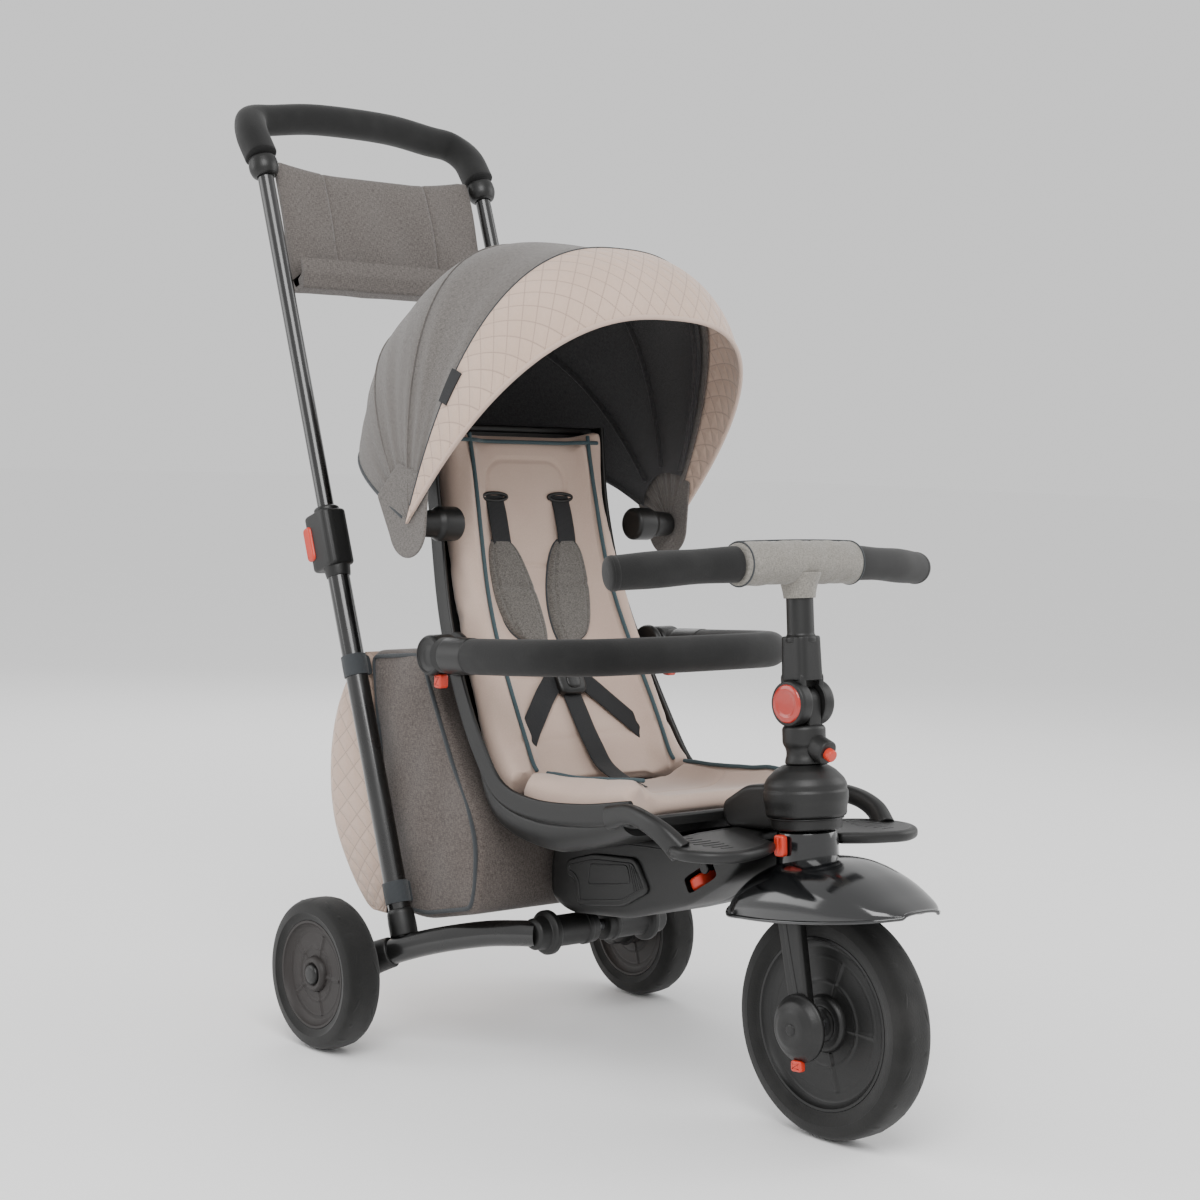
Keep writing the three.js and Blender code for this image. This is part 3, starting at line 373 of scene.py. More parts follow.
# ------------------------------------------------------------------ shader kit
class Value:
    """A number that varies over a surface. Its operators add Math nodes."""

    def __init__(self, finish, socket):
        self.finish, self.socket = finish, socket

    def math(self, operation, *terms):
        made = self.finish.node("ShaderNodeMath", {"operation": operation}, dict(enumerate(terms)))
        return Value(self.finish, made.outputs[0])

    def __add__(self, other):
        return self.math("ADD", self, other)

    def __sub__(self, other):
        return self.math("SUBTRACT", self, other)

    def __rsub__(self, other):
        return self.math("SUBTRACT", other, self)

    def __mul__(self, other):
        return self.math("MULTIPLY", self, other)

    def __truediv__(self, other):
        return self.math("DIVIDE", self, other)

    def __gt__(self, other):
        return self.math("GREATER_THAN", self, other)

    def __lt__(self, other):
        return self.math("LESS_THAN", self, other)

    __radd__ = __add__
    __rmul__ = __mul__

    def sine(self):
        return self.math("SINE", self)

    def size(self):
        return self.math("ABSOLUTE", self)

    def fraction(self):
        return self.math("FRACT", self)

    def least(self, other):
        return self.math("MINIMUM", self, other)

    def most(self, other):
        return self.math("MAXIMUM", self, other)

    def ease(self, low, high):
        """0 below low, 1 above high, and a smooth step between."""
        settings = {"interpolation_type": "SMOOTHSTEP"}
        made = self.finish.node("ShaderNodeMapRange", settings, {0: self, 1: low, 2: high, 3: 0.0, 4: 1.0})
        return Value(self.finish, made.outputs[0])


class Finish:
    """A material under construction round one Principled shader."""

    def __init__(self, name, **shader):
        self.material = bpy.data.materials.new(name)
        self.material.use_nodes = True
        self.tree = self.material.node_tree
        self.shader = self.tree.nodes["Principled BSDF"]
        for key, value in shader.items():
            self.shader.inputs[key.replace("_", " ")].default_value = value

    def node(self, kind, settings, inputs):
        made = self.tree.nodes.new(kind)
        for key, value in settings.items():
            setattr(made, key, value)
        for key, value in inputs.items():
            source = getattr(value, "socket", value)
            if isinstance(source, bpy.types.NodeSocket):
                self.tree.links.new(source, made.inputs[key])
            else:
                made.inputs[key].default_value = source
        return made

    def on_object(self):
        return self.node("ShaderNodeTexCoord", {}, {}).outputs["Object"]

    def on_cloth(self):
        return self.node("ShaderNodeUVMap", {"uv_map": "cloth"}, {}).outputs["UV"]

    def stretched(self, where, scale):
        return self.node("ShaderNodeMapping", {}, {"Vector": where, "Scale": scale}).outputs[0]

    def parts(self, where):
        made = self.node("ShaderNodeSeparateXYZ", {}, {0: where})
        return [Value(self, s) for s in made.outputs]

    def noise(self, where, scale, detail=2.0, roughness=0.5):
        inputs = {"Vector": where, "Scale": scale, "Detail": detail, "Roughness": roughness}
        return Value(self, self.node("ShaderNodeTexNoise", {}, inputs).outputs[0])

    def cells(self, where, scale):
        made = self.node("ShaderNodeTexVoronoi", {"feature": "F1"}, {"Vector": where, "Scale": scale})
        return Value(self, made.outputs["Distance"])

    def mix(self, share, first, second):
        inputs = {0: share, 6: first, 7: second}
        return self.node("ShaderNodeMix", {"data_type": "RGBA"}, inputs).outputs[2]

    def feed(self, **sockets):
        for key, value in sockets.items():
            self.tree.links.new(getattr(value, "socket", value), self.shader.inputs[key.replace("_", " ")])
        return self

    def bump(self, height, depth, strength=1.0):
        """The height, from 0 to 1, stands as many mm as the depth says."""
        made = self.node(
            "ShaderNodeBump", {}, {"Height": height, "Distance": depth * MM, "Strength": strength}
        )
        return self.feed(Normal=made.outputs[0])


def rgb(code):
    """A colour from its six-figure code, in linear light."""
    c = np.array([code >> 16 & 255, code >> 8 & 255, code & 255]) / 255
    linear = np.where(c <= 0.04045, c / 12.92, ((c + 0.055) / 1.055) ** 2.4)
    return (*linear, 1.0)


# ------------------------------------------------------------------ finishes
def gloss_paint():
    """Black paint on steel tube: a clear gloss coat with a faint orange peel and a little dust."""
    f = Finish("gloss_paint", Roughness=0.3, Coat_Weight=0.7, Coat_Roughness=0.08)
    where = f.on_object()
    dust = f.noise(where, 9, 5, 0.6).ease(0.45, 0.8)
    f.feed(Base_Color=f.mix(dust, rgb(0x0A0A0A), rgb(0x151515)), Roughness=0.26 + dust * 0.16)
    return f.bump(f.noise(where, 420, 1), 0.06, 0.35).material


def moulded(name, dark, light, rough, grain, depth, coat=0.0):
    """Moulded plastic: a fine spark-eroded grain, slow changes of gloss and slightly paler scuffs."""
    f = Finish(name, Coat_Weight=coat, Coat_Roughness=0.12)
    where = f.on_object()
    slow = f.noise(where, 14, 3)
    scuff = f.noise(f.stretched(where, (60, 60, 220)), 1.0, 4, 0.7).ease(0.58, 0.75)
    f.feed(
        Base_Color=f.mix(slow * 0.7 + scuff * 0.3, rgb(dark), rgb(light)),
        Roughness=rough + slow * 0.1 - scuff * 0.04,
    )
    return f.bump(f.cells(where, grain), depth, 0.5).material


def foam(name, dark, light):
    """Closed-cell foam: matte, with small pits of two sizes and the odd rubbed patch."""
    f = Finish(name, Sheen_Weight=0.12, Sheen_Roughness=0.6, Specular_IOR_Level=0.3)
    where = f.on_object()
    pits = f.cells(where, 620)
    rub = f.noise(where, 24, 3).ease(0.4, 0.8)
    f.feed(Base_Color=f.mix(rub * 0.6 + pits * 0.25, rgb(dark), rgb(light)), Roughness=0.84 - rub * 0.14)
    return f.bump(pits + f.noise(where, 1300, 1) * 0.4, 0.22, 0.6).material


def weave(f, where, pitch):
    """Plain weave at a pitch in mm: its height, and how far each thread is pale or dark along its run."""
    u, v, _ = f.parts(where)
    k = 2 * math.pi / (pitch * MM)
    height = (u * k).sine() * (v * k).sine() * 0.5 + 0.5
    warp = f.noise(f.stretched(where, (1300 / pitch, 210, 1)), 1.0, 2)
    weft = f.noise(f.stretched(where, (210, 1300 / pitch, 1)), 1.0, 2)
    return height, warp, weft


def heather(name, dark, light, pitch=1.1, contrast=1.0, depth=0.35):
    """Heathered cloth: pale and dark threads cross, each changing shade along its run."""
    f = Finish(name, Sheen_Weight=0.25, Sheen_Roughness=0.5, Roughness=0.93, Specular_IOR_Level=0.25)
    where = f.on_cloth()
    height, warp, weft = weave(f, where, pitch)
    thread = (warp.ease(0.38, 0.62) * 0.5 + weft.ease(0.38, 0.62) * 0.5 - 0.5) * contrast + 0.5
    fade = f.noise(where, 12, 2) * 0.16 - 0.08
    f.feed(Base_Color=f.mix(thread + fade, rgb(dark), rgb(light)))
    return f.bump(height * 0.7 + thread * 0.3, depth, 0.7).material


def heather_on_object(name, dark, light, pitch=1.1, depth=0.3):
    """Heathered cloth on a pad with no cloth map: specks of two grains instead of threads."""
    f = Finish(name, Sheen_Weight=0.25, Sheen_Roughness=0.5, Roughness=0.93, Specular_IOR_Level=0.25)
    where = f.on_object()
    along = f.noise(f.stretched(where, (1300, 1300, 230)), 1.0, 2)
    across = f.noise(f.stretched(where, (260, 400, 1300)), 1.0, 2)
    thread = along.ease(0.4, 0.6) * 0.5 + across.ease(0.4, 0.6) * 0.5
    f.feed(Base_Color=f.mix(thread, rgb(dark), rgb(light)))
    return f.bump(f.cells(where, 1000 / pitch) * 0.6 + thread * 0.4, depth, 0.6).material


def beige_cloth():
    """Smooth beige seat cloth: a very fine knit, soft shading from handling and a dry sheen."""
    f = Finish("beige_cloth", Sheen_Weight=0.3, Sheen_Roughness=0.5, Roughness=0.88, Specular_IOR_Level=0.3)
    where = f.on_object()
    fine = f.cells(where, 1100)
    slow = f.noise(where, 16, 4)
    f.feed(
        Base_Color=f.mix(slow * 0.55 + fine * 0.35, rgb(0xB1978A), rgb(0xCFBAAB)), Roughness=0.8 + slow * 0.16
    )
    return f.bump(fine * 0.5 + f.noise(where, 70, 4) * 0.5, 0.3, 0.5).material


QUILT = 22.0  # side of a quilted diamond, mm


def quilted_cloth():
    """Beige cloth quilted in diamonds: two sets of sloping seams sink between soft pillows, the cloth along
    each seam is painted darker as shade, and a dotted thread shows in each."""
    f = Finish("quilted_cloth", Sheen_Weight=0.3, Sheen_Roughness=0.5, Roughness=0.85, Specular_IOR_Level=0.3)
    where = f.on_cloth()
    u, v, _ = f.parts(where)
    p = QUILT * MM
    rising, falling = (u * 0.8 + v) / p, (u * 0.8 - v) / p
    pitch = 2.6 * MM
    seams, dots = [], []
    for across, along in ((rising, falling), (falling, rising)):
        off = ((across.fraction() - 0.5).size() * -1 + 0.5) * QUILT
        seams.append(off)
        dots.append(((along * (p / pitch)).fraction() > 0.42) * (off < 0.55))
    near = seams[0].least(seams[1])
    pillow = near.ease(0.0, 9.0)
    thread = dots[0].most(dots[1])
    fine = f.cells(where, 1000)
    cloth = f.mix(f.noise(where, 14, 3) * 0.5 + fine * 0.3, rgb(0xBBA08F), rgb(0xD1BAAA))
    # Painted shade: cloth within 2 mm of a seam is mixed 60% towards a darker beige, as shade in the seam's
    # hollow.
    valley = f.mix((1 - near.ease(0.0, 2.0)) * 0.6, cloth, rgb(0xAE998C))
    f.feed(Base_Color=f.mix(thread * 0.75, valley, rgb(0x8D786C)))
    return f.bump(pillow * 0.85 + fine * 0.04 + thread * 0.06, 1.5, 0.8).material


def ribbed_band(name, dark, light, pitch=1.6):
    """Woven webbing: ribs along it and a twill across."""
    f = Finish(name, Roughness=0.75, Sheen_Weight=0.15, Specular_IOR_Level=0.35)
    where = f.on_cloth()
    u, v, _ = f.parts(where)
    k = 2 * math.pi / (pitch * MM)
    rib = (v * k).sine() * 0.5 + 0.5
    twill = ((u + v * 0.6) * k * 1.3).sine() * 0.5 + 0.5
    f.feed(Base_Color=f.mix(rib * 0.5 + twill * 0.3, rgb(dark), rgb(light)))
    return f.bump(rib * 0.6 + twill * 0.4, 0.35, 0.7).material


def plated_steel():
    """Bright plated steel, brushed along X."""
    f = Finish("plated_steel", Metallic=1.0, Base_Color=rgb(0xB4B6B9))
    where = f.on_object()
    brush = f.noise(f.stretched(where, (40, 900, 900)), 1.0, 3)
    f.feed(Roughness=0.22 + brush * 0.2)
    return f.bump(brush, 0.05, 0.3).material


PAINT = gloss_paint()
SATIN = moulded("satin_black", 0x0C0C0C, 0x191918, 0.4, 900, 0.16)
SATIN_DARK = moulded("satin_deep_black", 0x080808, 0x141413, 0.34, 700, 0.12)
GLOSS = moulded("gloss_black", 0x0B0C0D, 0x141517, 0.09, 300, 0.02, coat=0.8)
RED = moulded("orange_red", 0xC2301A, 0xD84430, 0.34, 800, 0.08, coat=0.15)
DISC_RED = moulded("glossy_red", 0xA2261C, 0xB93427, 0.14, 500, 0.03, coat=0.6)
RIM = moulded("rim_grey", 0x1D1918, 0x2E2927, 0.5, 700, 0.16)
GRIP_FOAM = foam("grip_foam", 0x090909, 0x151514)
TYRE = foam("foamed_tyre", 0x0D0D0C, 0x1E1D1C)
STEEL = plated_steel()
HOOD_CLOTH = heather("hood_cloth", 0x45413E, 0x75706C, pitch=0.9, contrast=0.8, depth=0.25)
HANDLE_CLOTH = heather("handle_bag_cloth", 0x45403D, 0x736D69, pitch=0.9, contrast=0.8, depth=0.25)
BAG_CLOTH = heather_on_object("bag_cloth", 0x423B38, 0x645C57)
SLEEVE_CLOTH = heather_on_object("sleeve_cloth", 0x716E68, 0x8E8A83)
HARNESS_CLOTH = heather_on_object("harness_cloth", 0x4D4A46, 0x6F6B67)
LINING = heather("lining_cloth", 0x232325, 0x3D3C3D, pitch=1.2, contrast=0.8)
BEIGE = beige_cloth()
QUILTED = quilted_cloth()
PIPING = ribbed_band("teal_piping", 0x2B3B40, 0x4A5F65, 1.2)
EDGING = ribbed_band("dark_edging", 0x26292C, 0x44484B, 1.2)
WEBBING = ribbed_band("black_webbing", 0x0E0F10, 0x232427)
CLIP_WHITE = moulded("clip_pale_grey", 0xB9BBBD, 0xDFE0E1, 0.3, 500, 0.04, coat=0.3)


# ------------------------------------------------------------------ studio
def studio():
    """A camera ahead of the machine and to its right, two thirds of a metre up, soft lights that face the
    machine's middle and a pale floor."""
    yaw, pitch, roll = (math.radians(a) for a in (139.77, -3.95, 1.75))
    ahead = np.array([math.cos(yaw) * math.cos(pitch), math.sin(yaw) * math.cos(pitch), math.sin(pitch)])
    level = np.array([math.sin(yaw), -math.cos(yaw), 0])
    over = np.cross(level, ahead)
    right = math.cos(roll) * level + math.sin(roll) * over
    up = math.cos(roll) * over - math.sin(roll) * level
    camera = bpy.data.objects.new("camera", bpy.data.cameras.new("camera"))
    camera.data.lens, camera.data.sensor_width = 68.75, 36
    matrix = np.eye(4)
    matrix[:3] = np.stack([right, up, -ahead, np.array([1.9155, -1.604, 0.6702])], 1)
    camera.matrix_world = Matrix(matrix.tolist())
    bpy.context.scene.collection.objects.link(camera)
    bpy.context.scene.camera = camera
    lit_point = (0, 0, 0.45)
    lights = (
        ("key", (1.6, -1.3, 2.4), 1.6, 60),
        ("side", (-1.9, -2.2, 1.3), 1.6, 20),
        ("far_side", (1.2, 2.6, 1.7), 1.8, 26),
        ("back", (-2.6, 1.6, 2.0), 1.6, 24),
    )
    for name, place, width, power in lights:
        lamp = bpy.data.lights.new(name, "AREA")
        lamp.shape, lamp.size, lamp.energy = "SQUARE", width, power
        lamp_object = bpy.data.objects.new(name, lamp)
        away = np.array(place) - lit_point
        side = unit(np.cross((0, 0, 1), away))
        turn = np.eye(4)
        turn[:3] = np.stack([side, unit(np.cross(away, side)), unit(away), place], 1)
        lamp_object.matrix_world = Matrix(turn.tolist())
        bpy.context.scene.collection.objects.link(lamp_object)
    world = bpy.data.worlds.new("studio")
    world.use_nodes = True
    world.node_tree.nodes["Background"].inputs[0].default_value = (1, 1, 1, 1)
    world.node_tree.nodes["Background"].inputs[1].default_value = 0.95
    bpy.context.scene.world = world
    f = Finish("floor", Roughness=0.8, Specular_IOR_Level=0.1)
    f.feed(Base_Color=f.mix(f.noise(f.on_object(), 3, 2), rgb(0xFBFBFB), rgb(0xFDFDFD)))
    far = 30000.0
    corners = np.array([[[-far, -far, -0.4], [-far, far, -0.4]], [[far, -far, -0.4], [far, far, -0.4]]])
    surface("floor", corners, f.material)


# ------------------------------------------------------------------ wheels
SHOULDER, SHOULDER_POWER = 15, 3.2  # how far the tread drops to its edge, and how square it stays


def tread_radius(radius, share):
    """The tyre's radius at a share of its half width: it drops in a superellipse."""
    return radius - SHOULDER * (1 - (1 - share**SHOULDER_POWER) ** (1 / SHOULDER_POWER))


def wheel(name, radius, half, rim, finish_rim, spokes, body):
    """A foamed tyre and its moulded disc, turned about Y. The tread shoulder rounds over in a superellipse;
    the disc has sector ribs, a dished face and a boss."""
    bench = Bench(middle(f"{name}_tyre"), (0, 1, 0))
    a = np.linspace(-1, 1, 33)
    crown = tread_radius(radius, np.abs(a)) - 0.05
    wall = [
        (rim + 0.6, half - 3.4), (rim + 5, half - 2.2), (rim + 6.4, half - 1.2),
        (radius - SHOULDER - 0.2, half - 0.2),
    ]
    tyre = [*zip(crown, a * half), *wall[::-1], *[(r, -h) for r, h in wall]]
    piece = turned(f"{name}_foam_tyre", tyre, TYRE, bench, segments=144, sharp=30)
    fit(piece, body, "tyre", f"{name}_tyre")
    tread(name, radius, half, bench, body)
    for side, s in (("outer", 1), ("inner", -1)):
        disc(name, side, s, rim, half, finish_rim, spokes, bench, body)


def tread(name, radius, half, bench, body):
    """Shallow oval and bar marks round both shoulders of the tyre, each a small domed grid lying on the
    shoulder: its height is one less the square of its distance from its middle."""
    marks = 20
    kinds = ((4.2, 8.5, 0.0), (9.5, 2.4, 0.55), (3.4, 3.4, 0.0))
    a, b = np.meshgrid(np.linspace(-1, 1, 7), np.linspace(-1, 1, 7), indexing="ij")
    disc_a, disc_b = a * np.sqrt(1 - b**2 / 2), b * np.sqrt(1 - a**2 / 2)
    rise = 0.55 * (1 - (disc_a**2 + disc_b**2)) - 0.12
    k = np.repeat(np.arange(marks), 2)[:, None, None]
    s = np.tile([1, -1], marks)[:, None, None]
    long, wide, slope = (np.take([kind[i] for kind in kinds], k % len(kinds)) for i in range(3))
    across = s * (half * 0.56 + disc_b * wide * 0.8 + disc_a * slope * long * 0.5)
    turn = 2 * np.pi * (k + 0.25 * s) / marks + disc_a * long / radius
    r = tread_radius(radius, np.abs(across) / half) + rise
    patches = np.stack([r * np.cos(turn), r * np.sin(turn), across], -1)
    fit(copies(f"{name}_tread_marks", patches, TYRE, bench), body, "tyre")


def disc(name, side, s, rim, half, finish, spokes, bench, body):
    """One face of a wheel disc on a polar grid: its depth is a dish with two ring beads and a boss, from
    which low radial ribs rise where the angle is near a spoke's."""
    hub = 0.34 * rim
    radii = np.unique(
        np.concatenate(
            [np.linspace(6, rim, 60), hub + np.array([-1, 0, 1, 2]), rim - np.array([1, 2, 4, 6, 8])]
        )
    )
    turn = np.linspace(0, 2 * np.pi, 240, endpoint=False)
    r, t = np.meshgrid(radii, turn, indexing="ij")
    lip = half - 3.2
    dish = lip - 6.5 * np.clip((rim - 3 - r) / 6, 0, 1) ** 0.6
    bead = 1.3 * np.exp(-(((r - 0.8 * rim) / 1.6) ** 2)) + 1.1 * np.exp(-(((r - 0.5 * rim) / 1.4) ** 2))
    boss = 6.0 * np.clip((hub - r) / 3.5, 0, 1) ** 0.5 - 2.4 * np.exp(-(((r - 0.19 * rim) / 1.6) ** 2))
    near = np.abs((t * spokes / (2 * np.pi) + 0.5) % 1 - 0.5) * 2 * np.pi / spokes * r
    inside = (r > hub) & (r < 0.78 * rim)
    rib = 1.5 * np.clip(1 - near / 2.2, 0, 1) ** 0.5 * inside
    height = np.minimum(dish + bead * inside + boss + rib, half - 0.6)
    face = np.stack([r * np.cos(t), r * np.sin(t), s * height], -1)
    back = face[[-1, 0]] * (1, 1, 0)
    grid = np.concatenate([face, back])
    piece = surface(f"{name}_disc_{side}", grid, finish, bench, wrap_rows=True, wrap_columns=True, sharp=50)
    fit(piece, body, "rim", *([f"{name}_rim"] if s > 0 else []))


def wheels():
    for side, s in SIDES:
        w = size(f"rear_wheel_{side}_tyre")
        name = f"rear_wheel_{side}"
        wheel(name, w[2] / 2, w[1] / 2, 58.6, RIM, 5, name)
        cap = Bench(middle(f"{name}_tyre"), (0, s, 0))
        dome = [
            (0, w[1] / 2 - 0.4),
            (7, w[1] / 2 - 0.6),
            (10.5, w[1] / 2 - 2),
            (11.5, w[1] / 2 - 7),
            (0, w[1] / 2 - 7),
        ]
        fit(turned(f"{name}_centre_cap", fillet(dome, 2), SATIN_DARK, cap, 48), name, "rim")
    w = size("front_wheel_tyre")
    wheel("front_wheel", w[2] / 2, w[1] / 2, 84.4, SATIN, 5, "front_wheel")


# ------------------------------------------------------------------ rear frame
ARM_ROUTE = ((8, 191, 85.5), (38, 179, 103), (85, 150, 123), (135, 117, 137), (170, 96, 142), (187, 84, 143))
FOLD = (187, 0, 143)


def rear_frame():
    """The two arms from the wheels to the barrel, their moulded boots, and the flanged barrel itself."""
    for side, s in SIDES:
        route = curve(np.array(ARM_ROUTE) * (1, s, 1), 60)
        arm = swept(f"arm_{side}", route, circle(14), PAINT, AXLE)
        fit(arm, "rear_frame", "tube_black", f"rear_arm_{side}")
        inner = REAR_WIDTH_INSIDE - 26
        boss = [
            (0, inner), (16, inner), (17.5, inner + 3), (18, REAR_WIDTH_INSIDE - 6),
            (22, REAR_WIDTH_INSIDE - 1), (0, REAR_WIDTH_INSIDE - 1),
        ]
        seat = Bench(AXLE((0, 0, 82.5)), (0, s, 0))
        fit(turned(f"arm_boot_{side}", fillet(boss, 2), SATIN, seat, 56), "rear_frame", "satin_black")
        neck = swept(
            f"arm_neck_{side}",
            route[:14],
            circle(17.5),
            SATIN,
            AXLE,
            scale=np.linspace(1.08, 0.96, 14),
            round_ends=2,
        )
        fit(neck, "rear_frame", "satin_black")
        axle = turned(
            f"axle_{side}",
            [
                (0, REAR_WIDTH_INSIDE - 10), (6, REAR_WIDTH_INSIDE - 10), (6, REAR_WIDTH_INSIDE + 39),
                (0, REAR_WIDTH_INSIDE + 39),
            ],
            STEEL,
            seat,
            32,
        )
        fit(axle, "rear_frame", "steel", f"rear_axle_{side}")
        barrel(side, s)
    pin = size("fold_pin")
    bench = Bench(AXLE(FOLD), (0, 1, 0))
    body = fillet([(0, -pin[1] / 2), (6, -pin[1] / 2), (6, pin[1] / 2), (0, pin[1] / 2)], 1)
    fit(turned("fold_pin_rod", body, STEEL, bench, 32), "rear_frame", "steel", "fold_pin")


def barrel(side, s):
    """Half of the fold barrel, turned about Y: a sleeve, a thick flange and a ring near the middle."""
    bench = Bench(AXLE(FOLD), (0, s, 0))
    profile = [
        (0, 7), (17, 7), (17, 16), (18.4, 16.5), (18.4, 22), (17, 22.5), (17, 63), (22, 64.5), (24, 66),
        (24, 72),
    ]
    profile += [(22, 73.5), (17.5, 75), (17, 88), (14, 90.5), (0, 90.5)]
    fit(turned(f"fold_barrel_{side}", fillet(profile, 1.2, 4), SATIN, bench, 64), "rear_frame", "satin_black")


def uprights():
    """The leaning tubes, the collars at their feet and the height latches at their tops."""
    for side, s in SIDES:
        y = s * HANDLE_HALF
        tube = Bench(LEAN((0, y, 0)), LEAN.up)
        body = [(0, -16), (12.5, -16), (12.5, 466), (0, 466)]
        fit(
            turned(f"upright_{side}", body, PAINT, tube, 56),
            "rear_frame",
            "tube_black",
            f"upright_tube_{side}",
        )
        foot = fillet([(0, -12), (15.5, -12), (15.5, 2), (14.8, 14), (12.9, 18), (0, 18)], 2)
        fit(turned(f"upright_foot_{side}", foot, SATIN, tube, 56), "rear_frame", "satin_black")
        latch(side, s, y)


def latch(side, s, y):
    """The height latch: a rounded block round the tubes with a lip at its mouth and a red press at its
    outer back corner."""
    low, high = 410, 476
    corners = [(-28, y - 17), (17, y - 17), (17, y + 17), (-28, y + 17)]
    case = plate(f"latch_case_{side}", corners, low, high, SATIN, LEAN, radius=11, edge=4, lying=True)
    fit(case, "rear_frame", "satin_black", f"latch_housing_{side}")
    tube = Bench(LEAN((0, y, 0)), LEAN.up)
    mouth = fillet(
        [
            (12, high - 2), (14.5, high - 2), (14.5, high + 3), (12.5, high + 5), (10.3, high + 4.6),
            (10.3, high - 2),
        ],
        1,
        closed=True,
    )
    fit(turned(f"latch_mouth_{side}", mouth, SATIN_DARK, tube, 56), "rear_frame", "satin_black")
    skirt = fillet([(0, low - 12), (13.6, low - 12), (14.2, low - 9), (15.5, low + 2), (0, low + 2)], 1.5)
    fit(turned(f"latch_skirt_{side}", skirt, SATIN, tube, 56), "rear_frame", "satin_black")
    near, far = 10, 20
    span = (y + near, y + far) if s > 0 else (y - far, y - near)
    press = [(-27.5, 423), (-12.8, 423), (-12.8, 463), (-27.5, 463)]
    button = plate(f"latch_press_{side}", press, *span, RED, LEAN, radius=6, edge=3.2)
    fit(button, f"latch_{side}", "red_plastic", f"latch_button_{side}")


# ------------------------------------------------------------------ push handle
def handle_route():
    """The grip's line: back from the collars, round the corners and across in a low arch."""
    quarter = [(-277, 160, 994), (-300, 159, 1022), (-321, 146, 1039), (-327, 116, 1044), (-328, 50, 1052)]
    points = quarter + [(x, -y, z) for x, y, z in quarter[::-1]]
    return curve(points, 110)


def push_handle():
    """The thinner tubes that slide in the uprights, the collars on their tops and the foam grip."""
    for side, s in SIDES:
        tube = Bench(LEAN((0, s * HANDLE_HALF, 0)), LEAN.up)
        stem = [(0, 252), (9.5, 252), (9.5, 900), (0, 900)]
        fit(
            turned(f"handle_stem_{side}", stem, PAINT, tube, 48),
            "push_handle",
            "tube_black",
            f"handle_tube_{side}",
        )
        collar = [
            (9.4, 889), (12, 889), (14.5, 891), (17, 897), (17.6, 903), (16.6, 910), (15, 914), (9.4, 914)
        ]
        piece = turned(f"handle_ball_{side}", fillet(collar, 2.5, 5, closed=True), SATIN_DARK, tube, 56)
        fit(piece, "push_handle", "satin_black", f"handle_collar_{side}")
    grip = swept(
        "push_grip",
        handle_route(),
        squircle(18.6, 18.6, 2.3, 56),
        GRIP_FOAM,
        AXLE,
        up=(0, 0.02, 1),
        round_ends=2,
    )
    fit(grip, "push_handle", "foam", "handle_grip")


def handle_bag():
    """The flat bag between the handle tubes on a grid: across u and up v. Its top dips in the middle, its
    foot curls forward and up into a pocket, and two upright seams pull in."""
    half = size("handle_bag")[1] / 2
    u = np.linspace(-1, 1, 121)[:, None]
    v = np.linspace(0, 1, 96)[None]
    dip = 904 + 10 * np.clip(np.abs(u) * 1.9 - 0.75, 0, 1) ** 1.5
    seam = np.exp(-(((np.abs(u) - 0.52) * half / 2.2) ** 2))
    belly = 3.2 * np.sin(np.pi * np.clip((v - 0.3) / 0.7, 0, 1)) * np.clip(1 - np.abs(u) ** 6, 0, 1)
    fold_x = np.interp(v, [0, 0.06, 0.14, 0.22, 0.28, 0.34, 1], [15, 15.5, 9, -9, -14, -11, -7])
    fold_z = np.interp(v, [0, 0.06, 0.14, 0.22, 0.28, 0.34], [783, 765, 748, 748, 765, 790])
    z = np.where(v < 0.34, fold_z, 790 + (dip - 790) * np.clip((v - 0.34) / 0.66, 0, 1)) + 0 * u
    front_x = fold_x + belly * 0.4
    sag = 1.2 * np.sin(9 * u + 5 * v) * np.sin(np.pi * v) + 0.7 * np.sin(17 * u - 11 * v) * np.sin(np.pi * v)
    x = front_x + sag - 1.6 * seam * (v > 0.3)
    back = np.stack([x, u * half + 0 * v, z], -1)
    wrap = swept_wall(back, 5.5)
    bag = surface("handle_bag_cloth", wrap, HANDLE_CLOTH, LEAN, wrap_columns=True, lids=True, sharp=60)
    fit(bag, "push_handle", "grey_cloth", "handle_bag")


def swept_wall(sheet, wall):
    """A sheet of points given a thickness towards its left normal: each row runs out along one face and
    back along the other."""
    du, dv = np.gradient(sheet, axis=0), np.gradient(sheet, axis=1)
    normal = unit(np.cross(du, dv) + 1e-12)
    ease = np.sqrt(1 - np.linspace(-1, 1, sheet.shape[1]) ** 8)[None, :, None]
    other = sheet + normal * wall * ease
    return np.concatenate([sheet, other[:, ::-1]], 1)


# ------------------------------------------------------------------ cloth work
def coordinates(mesh):
    co = np.empty(len(mesh.vertices) * 3, np.float32)
    mesh.vertices.foreach_get("co", co)
    return co.reshape(-1, 3).astype(float)


def set_coordinates(mesh, points):
    mesh.vertices.foreach_set("co", points.astype(np.float32).ravel())
    mesh.update()


def made_real(piece):
    """The piece's mesh with its modifiers applied, and none left."""
    bpy.context.view_layer.update()
    depsgraph = bpy.context.evaluated_depsgraph_get()
    mesh = bpy.data.meshes.new_from_object(piece.evaluated_get(depsgraph))
    piece.modifiers.clear()
    piece.data = mesh
    return mesh


